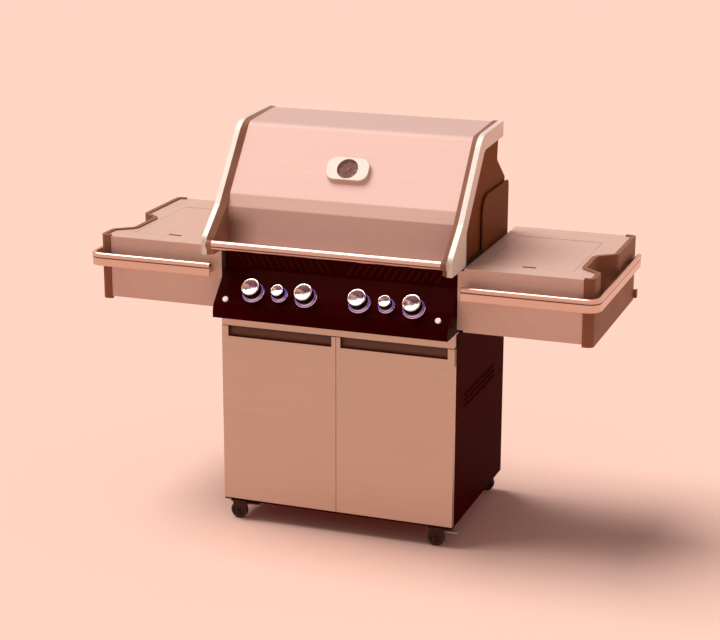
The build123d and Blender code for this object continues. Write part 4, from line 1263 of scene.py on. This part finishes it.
@dataclass
class Thermometer:
    """Printed scale of the lid thermometer.

    Attributes:
        radius: outer radius of the scale.
        start: direction of the cold end, degrees from the dial's right.
        sweep: degrees from the cold to the hot end.
        marks: number of long marks.
        between: steps from one long mark to the next.
        count_by: step from one number to the next.
        long_mark: length and width of a long mark.
        short_mark: length and width of a short one.
        number_in: distance of the numbers inside the scale's radius.
        number_size: height of their type.
        needle_reach: radius outside which the dial's face is bare.
        gap: distance between the face and the paint.
        coat: thickness of a mark.
        number_coat: half the thickness of a number.
    """

    radius: float = 31.0
    start: float = 225.0
    sweep: float = 270.0
    marks: int = 7
    between: int = 5
    count_by: int = 50
    long_mark: tuple[float, float] = (4.0, 1.0)
    short_mark: tuple[float, float] = (2.2, 0.5)
    number_in: float = 8.2
    number_size: float = 5.2
    needle_reach: float = 20.0
    gap: float = 0.02
    coat: float = 0.15
    number_coat: float = 0.05

    def angle(self, share: float) -> float:
        """Direction of a place on the scale, from the dial's right, anticlockwise."""
        return math.radians(self.start - self.sweep * share)

    def build(self) -> None:
        """Long and short marks and plain numbers on the dial."""
        low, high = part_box("thermometer_dial")
        _, axis = joint("needle_turn")
        outward = axis if axis.y < 0 else -axis
        seat = spot((low + high) / 2, outward) @ Matrix.Translation((0, 0, self.face_height(outward)))
        shape = Shape()
        steps = (self.marks - 1) * self.between
        for step in range(steps + 1):
            length, width = self.short_mark if step % self.between else self.long_mark
            mark = Shape.block((self.radius - length, -width / 2, 0), (self.radius, width / 2, self.coat))
            shape.joined(mark.placed(seat @ Matrix.Rotation(self.angle(step / steps), 4, "Z")))
        for index in range(self.marks):
            angle = self.angle(index / (self.marks - 1))
            centre = Vector((math.cos(angle), math.sin(angle), 0)) * ((self.radius - self.number_in) * MM)
            number = self.number(str((index + 1) * self.count_by))
            shape.joined(number.placed(seat @ Matrix.Translation(centre)))
        shape.piece("thermometer_scale", SCALE_PAINT, "lid", "dial_paint")

    def face_height(self, outward: Vector) -> float:
        """How far the dial's face lies in front of the middle of its box, with the paint's gap.

        Args:
            outward: direction that the dial faces.

        Returns:
            The distance in metres.
        """
        centre = sum(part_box("thermometer_dial"), Vector()) / 2
        arms = [vertex.co - centre for vertex in frame["nodes"]["thermometer_dial"].data.vertices]
        bare = self.needle_reach * MM
        reach = [arm.dot(outward) for arm in arms if (arm - outward * arm.dot(outward)).length > bare]
        return max(reach) + self.gap * MM

    def number(self, text: str) -> Shape:
        """A printed number centred on the origin.

        Args:
            text: digits.

        Returns:
            The digits as a thin raised shape.
        """
        curve = bpy.data.curves.new("digits", "FONT")
        curve.body = text
        curve.size = self.number_size * MM
        curve.extrude = self.number_coat * MM
        curve.align_x = curve.align_y = "CENTER"
        holder = bpy.data.objects.new("digits", curve)
        data = bpy.data.meshes.new_from_object(holder)
        shape = Shape()
        shape.mesh.from_mesh(data)
        bpy.data.objects.remove(holder)
        bpy.data.meshes.remove(data)
        bpy.data.curves.remove(curve)
        return shape.clean()


@dataclass
class Casters:
    """Tyres, hubs and axle nuts of the four casters.

    Attributes:
        width: wheel width.
        hub: hub radius.
        axle: least length between the nuts.
    """

    width: float = 20.0
    hub: float = 18.0
    axle: float = 28.0

    def tyre(self, r: float) -> Shape:
        """Round-shouldered tyre with two grooves, its axis along Z.

        Args:
            r: wheel radius.

        Returns:
            The tyre.
        """
        half = self.width / 2
        side = [
            (self.hub, half - 2.0), (self.hub + 1.4, half - 0.4), (r - 5.0, half), (r - 2.2, half - 0.9),
            (r - 0.6, half - 2.6), (r, half - 4.6),
        ]
        groove = [(r, 3.4), (r - 1.0, 3.0), (r - 1.0, 2.2), (r, 1.8)]
        return Shape.turned(mirrored(side + groove), 56, closed=True)

    def rim(self) -> Shape:
        """Dished hub with ribs on both sides.

        Returns:
            The hub.
        """
        half, hub = self.width / 2, self.hub
        dish = [
            (hub, half - 1.9), (hub - 1.6, half - 1.6), (hub - 3.0, half - 4.4), (8.6, half - 4.8),
            (7.4, half - 0.9), (4.1, half - 0.6),
        ]
        rib = Shape.block((7.6, -1.0, 2.2 - half), (hub - 1.8, 1.0, half - 2.2)).softened(0.4, 1)
        turns = [Matrix.Rotation(math.tau * index / 6, 4, "Z") for index in range(6)]
        return Shape.turned(mirrored(dish), 40, closed=True).joined(rib.repeated(turns))

    def build(self) -> None:
        """Make the wheels and the nuts on their axles."""
        for name in ("front_left", "front_right", "back_left", "back_right"):
            centre, axis = joint(f"wheel_{name}_roll")
            seat = spot(centre, axis)
            body, node = f"wheel_{name}", f"caster_wheel_{name}"
            low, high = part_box(node)
            tyre = self.tyre((high.z - low.z) / 2 / MM).placed(seat)
            tyre.piece(f"tyre_{name}", FINISHES["tyre_rubber"], body, replaces=[node])
            self.rim().placed(seat).piece(f"hub_{name}", HUB_GREY, body, "tyre_rubber", [node])
            low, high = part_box(f"caster_fork_{name}")
            half = max(abs((high - low).dot(axis)), self.axle * MM) / 2
            heads = [spot(centre + way * half, way) for way in (axis, -axis)]
            nuts = Screws(6.0, 2.6, HeadStyle.HEX)
            nuts.set(f"axle_nuts_{name}", heads, FINISHES["caster_zinc"], f"caster_{name}")


@dataclass
class Cabinet:
    """Pressed louvres and screws of the closed cart.

    Attributes:
        columns: louvres in a row on a side panel.
        rows: rows of them.
        length: length of one, in millimetres.
        hood: how far a louvre stands out, and how far it rises above and drops below its middle.
        overhang: how far it reaches past each end of its slot.
        sheet: thickness of the metal.
        first: distance of the first louvre's middle behind the front edge of the panel.
        pitch: distances between louvres, along and down.
        top: height of the top row.
        back_rows: rows of louvres on the back panel, one in each.
        back_length: length of one, in millimetres.
        back_low: height of the lowest.
        screw_in: distance of the side panels' screws from the edges.
        screw_heights: heights of these screws.
        back_screw_in: distance of the back panel's screws from the edges.
        back_screw_low: height of its lowest row of screws.
        back_screw_side: distance of its inner screws from the middle.
        back_screw_middle: height of the screws halfway up its edges.
    """

    columns: int = 5
    rows: int = 3
    length: float = 52.0
    hood: Triple = (4.5, 5.4, 2.8)
    overhang: float = 3.0
    sheet: float = 0.5
    first: float = 0.124
    pitch: tuple[float, float] = (0.067, 0.019)
    top: float = 0.478
    back_rows: int = 5
    back_length: float = 312.0
    back_low: float = 0.325
    screw_in: float = 0.014
    screw_heights: tuple[float, ...] = (0.110, 0.270, 0.430, 0.590, 0.670)
    back_screw_in: float = 0.012
    back_screw_low: float = 0.085
    back_screw_side: float = 0.12
    back_screw_middle: float = 0.36

    def louvre(self, length: float) -> Shape:
        """Pressed hood over a slot, closed at its ends and open below, bulging along Z.

        Args:
            length: length of the slot along X.

        Returns:
            The hood.
        """
        shape = Shape()
        mesh = shape.mesh
        reach, rise, drop = self.hood
        half = length / 2 + self.overhang
        rows = []
        for angle in (math.radians(15.0 * step) for step in range(7)):
            up, out = rise - (rise + drop) * (1 - math.cos(angle)), reach * math.sin(angle)
            rows.append([mesh.verts.new((x * MM, up * MM, out * MM)) for x in (-half, half)])
        for lower, upper in zip(rows, rows[1:]):
            mesh.faces.new((lower[0], lower[1], upper[1], upper[0]))
        for side in (0, 1):
            corner = mesh.verts.new((*rows[-1][side].co.xy, 0))
            mesh.faces.new([*(row[side] for row in rows), corner])
        bmesh.ops.recalc_face_normals(mesh, faces=mesh.faces)
        bmesh.ops.solidify(mesh, geom=mesh.faces[:], thickness=self.sheet * MM)
        return shape

    def panel(self, name: str, normal: Triple, length: float, slots: Sequence[Triple],
              screws: Sequence[Triple]) -> None:
        """Louvres and screws of one panel.

        Args:
            name: which panel.
            normal: direction that it faces.
            length: length of a louvre.
            slots: places of the louvres.
            screws: places of the screws.
        """
        enamel = FINISHES["cart_enamel"]
        hoods = self.louvre(length).repeated(spot(place, normal) for place in slots)
        hoods.piece(f"louvres_{name}", enamel)
        Screws().set(f"panel_screws_{name}", [spot(place, normal) for place in screws], enamel)

    def build(self) -> None:
        """Louvres and screws on the sides and the back."""
        along, down = self.pitch
        for name, side in (("right", 1), ("left", -1)):
            low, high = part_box(f"cabinet_{name}_panel")
            wall = high.x if side > 0 else low.x
            slots = [
                (wall, low.y + self.first + column * along, self.top - row * down)
                for row in range(self.rows) for column in range(self.columns)
            ]
            edges = (low.y + self.screw_in, high.y - self.screw_in)
            screws = [(wall, y, z) for y in edges for z in self.screw_heights]
            self.panel(name, (side, 0, 0), self.length, slots, screws)
        low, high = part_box("cabinet_back_panel")
        slots = [(0, high.y, self.back_low + row * down) for row in range(self.back_rows)]
        left, right = low.x + self.back_screw_in, high.x - self.back_screw_in
        levels = (self.back_screw_low, high.z - self.back_screw_in)
        across = (left, -self.back_screw_side, self.back_screw_side, right)
        screws = [(x, high.y, z) for x in across for z in levels]
        screws += [(x, high.y, self.back_screw_middle) for x in (left, right)]
        self.panel("back", (0, 1, 0), self.back_length, slots, screws)


@dataclass
class PanelRibs:
    """Two fans of slanted ribs pressed into the upright top of the control panel.

    Attributes:
        count: ribs in a fan.
        first: distance of the first rib from the middle.
        pitch: distance between ribs.
        size: width and length of a rib, in millimetres.
        lean: degrees from the upright, away from the middle.
        height: height of the ribs' middles.
        depth: how far a rib stands out, in millimetres.
        rounding: width of the rounding of its edges.
    """

    count: int = 13
    first: float = 0.040
    pitch: float = 0.024
    size: tuple[float, float] = (7.0, 46.0)
    lean: float = 32.0
    height: float = 0.873
    depth: float = 1.6
    rounding: float = 0.7

    def build(self) -> None:
        """Round-ended ribs on the panel's upright."""
        half = self.size[0] / 2
        long = self.size[1] / 2 - half
        arc = [(half * math.cos(a), half * math.sin(a)) for a in (math.pi * step / 8 for step in range(9))]
        outline = [(x, y + long) for x, y in arc] + [(-x, -y - long) for x, y in arc]
        panel = frame["nodes"]["control_panel"].data
        wall = min(vertex.co.y for vertex in panel.vertices if vertex.co.z > self.height)
        places = []
        for side in (-1, 1):
            tilt = Matrix.Rotation(math.radians(-side * self.lean), 4, "Z")
            for index in range(self.count):
                x = side * (self.first + index * self.pitch)
                places.append(spot((x, wall, self.height), (0, -1, 0)) @ tilt)
        rib = Shape.plate(outline, self.depth).softened(self.rounding)
        # The ribs take the lighter enamel, a painted highlight.
        rib.repeated(places).piece("panel_ribs", RIB_ENAMEL, slot="panel_enamel")


@dataclass
class RailPlugs:
    """Domed plugs in the open ends of the two rails.

    Attributes:
        bead: radius of a rail's round edge.
        inset: how much smaller a plug is.
        dome: height of a plug.
    """

    bead: float = 8.0
    inset: float = 0.6
    dome: float = 2.4

    def build(self) -> None:
        """One plug at each of the four ends."""
        plug, bead = Screws(self.bead - self.inset, self.dome), self.bead * MM
        for side, name in ((-1, "left"), (1, "right")):
            low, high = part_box(f"{name}_rail")
            inner, outer = (low.x, high.x) if side > 0 else (high.x, low.x)
            z = high.z - bead
            places = [
                spot((inner, low.y + bead, z), (-side, 0, 0)),
                spot((outer - side * bead, high.y, z), (0, 1, 0)),
            ]
            plug.set(f"rail_plugs_{name}", places, FINISHES["cap_plastic"], slot="rail_steel")


@dataclass
class Inlet:
    """Thread and lock nut of the gas inlet behind the cart.

    Attributes:
        radius: radius of the thread.
        pitch: distance between its crests.
        turns: number of crests.
        nut: radius of the nut, and where it starts and ends along the thread.
    """

    radius: float = 7.9
    pitch: float = 1.6
    turns: int = 7
    nut: Triple = (13.0, -9.0, -3.0)

    def build(self) -> None:
        """Rings of thread and a six-sided nut."""
        mount = next(item for item in frame["record"]["mounts"] if item["name"] == "gas_inlet")
        seat = spot(mount["pos_m"], mount["axis"])
        r, pitch = self.radius, self.pitch
        profile = [(r - 0.6, -0.4 * pitch)]
        for index in range(self.turns):
            profile += [(r + 0.5, index * pitch), (r, (index + 0.5) * pitch)]
        profile.append((r - 0.6, (self.turns - 0.4) * pitch))
        wide, start, end = self.nut
        nut = Shape.turned([(r, start), (wide, start), (wide, end), (r, end)], 6, closed=True)
        thread = Shape.turned(profile, 40, closed=True).placed(seat)
        thread.joined(nut.softened(0.5, 1).placed(seat))
        thread.piece("inlet_thread", FINISHES["valve_brass"])


@dataclass
class Dressing:
    """Which finish each node gets."""

    def build(self) -> None:
        """Dress every node by the slot that the record gives it."""
        for part in frame["record"]["subparts"]:
            dress([part["node"]], FINISHES[part["material_slot"]])
        dress(["rear_burner"], TILE)
        # The doors take the finish with painted shade in their pull recess.
        dress(["left_door", "right_door"], DOOR_STEEL)


# ---- Studio ----------------------------------------------------------------------------------
@dataclass
class Studio:
    """Pale floor, soft light and camera.

    Attributes:
        floor_reach: half the floor's side, in metres.
        floor_colour: colour of the floor.
        backdrop: colour that metal and glass mirror above the floor.
        key: strength of the soft key light.
        softness: width of that light in the sky, in degrees.
        elevation: its height above the horizon in degrees.
        ambient: strength of the light from all round.
        camera_place: where the camera stands.
        camera_target: what it looks at.
        camera_roll: how far it leans, in degrees.
        lens: its focal length in millimetres.
    """

    floor_reach: float = 60.0
    floor_colour: Colour = (0.99, 0.642, 0.528)
    backdrop: Colour = (1.0, 0.651, 0.533)
    key: float = 2.82
    softness: float = 40.0
    elevation: float = 64.0
    ambient: float = 0.24
    camera_place: Triple = (1.9904, -5.5541, 2.3767)
    camera_target: Triple = (0.0802, -0.2455, 0.7247)
    camera_roll: float = 0.15
    lens: float = 94.85

    def floor(self) -> None:
        """Wide plain floor."""
        shape = Shape()
        bmesh.ops.create_grid(shape.mesh, x_segments=2, y_segments=2, size=self.floor_reach)
        shape.made("studio_floor", StudioPaper("studio_paper", self.floor_colour, 1.0))

    def world(self) -> None:
        """Even neutral light, with the backdrop's colour for what mirrors or looks through."""
        world = bpy.data.worlds.new("studio_air")
        bpy.context.scene.world = world
        world.use_nodes = True
        bench = Bench(world.node_tree)
        path = bench.node("ShaderNodeLightPath")
        rays = ("Is Camera Ray", "Is Glossy Ray", "Is Transmission Ray")
        seen = sum(Value(bench, path.outputs[ray]) for ray in rays).between(0, 1)
        air = world.node_tree.nodes["Background"]
        bench.feed(air.inputs["Color"], bench.blend(seen, (self.ambient,) * 3, self.backdrop))
        bench.feed(air.inputs["Strength"], 1.0)

    def lamps(self) -> None:
        """Large soft key light from the left and above."""
        lamp = bpy.data.lights.new("key_light", "SUN")
        lamp.energy = self.key
        lamp.angle = math.radians(self.softness)
        slope = math.radians(self.elevation)
        travel = Vector((math.cos(slope), 0.0, -math.sin(slope)))
        in_scene("key_light", lamp).rotation_euler = travel.to_track_quat("-Z", "Y").to_euler()

    def camera(self) -> None:
        """Camera in front and to the right, above eye level."""
        data = bpy.data.cameras.new("camera")
        data.lens = self.lens
        data.sensor_width = 36.0
        data.clip_end = 200.0
        holder = in_scene("camera", data)
        aim = Vector(self.camera_target) - Vector(self.camera_place)
        turn = aim.to_track_quat("-Z", "Y").to_matrix().to_4x4()
        roll = Matrix.Rotation(math.radians(self.camera_roll), 4, "Z")
        holder.matrix_world = Matrix.Translation(self.camera_place) @ turn @ roll
        bpy.context.scene.camera = holder

    def build(self) -> None:
        """Set the stage."""
        bpy.context.scene.view_settings.view_transform = "Standard"
        self.camera()
        self.floor()
        self.world()
        self.lamps()


def main() -> None:
    """Build the studio, dress the nodes and add the small pieces."""
    logging.basicConfig(level=logging.INFO, format="%(message)s")
    for part in (Studio(), Dressing(), Knobs(), Thermometer(), Casters(), Cabinet(), PanelRibs(), RailPlugs(),
                 Inlet()):
        part.build()
        log.info("built %s", type(part).__name__)


if __name__ == "__main__":
    main()
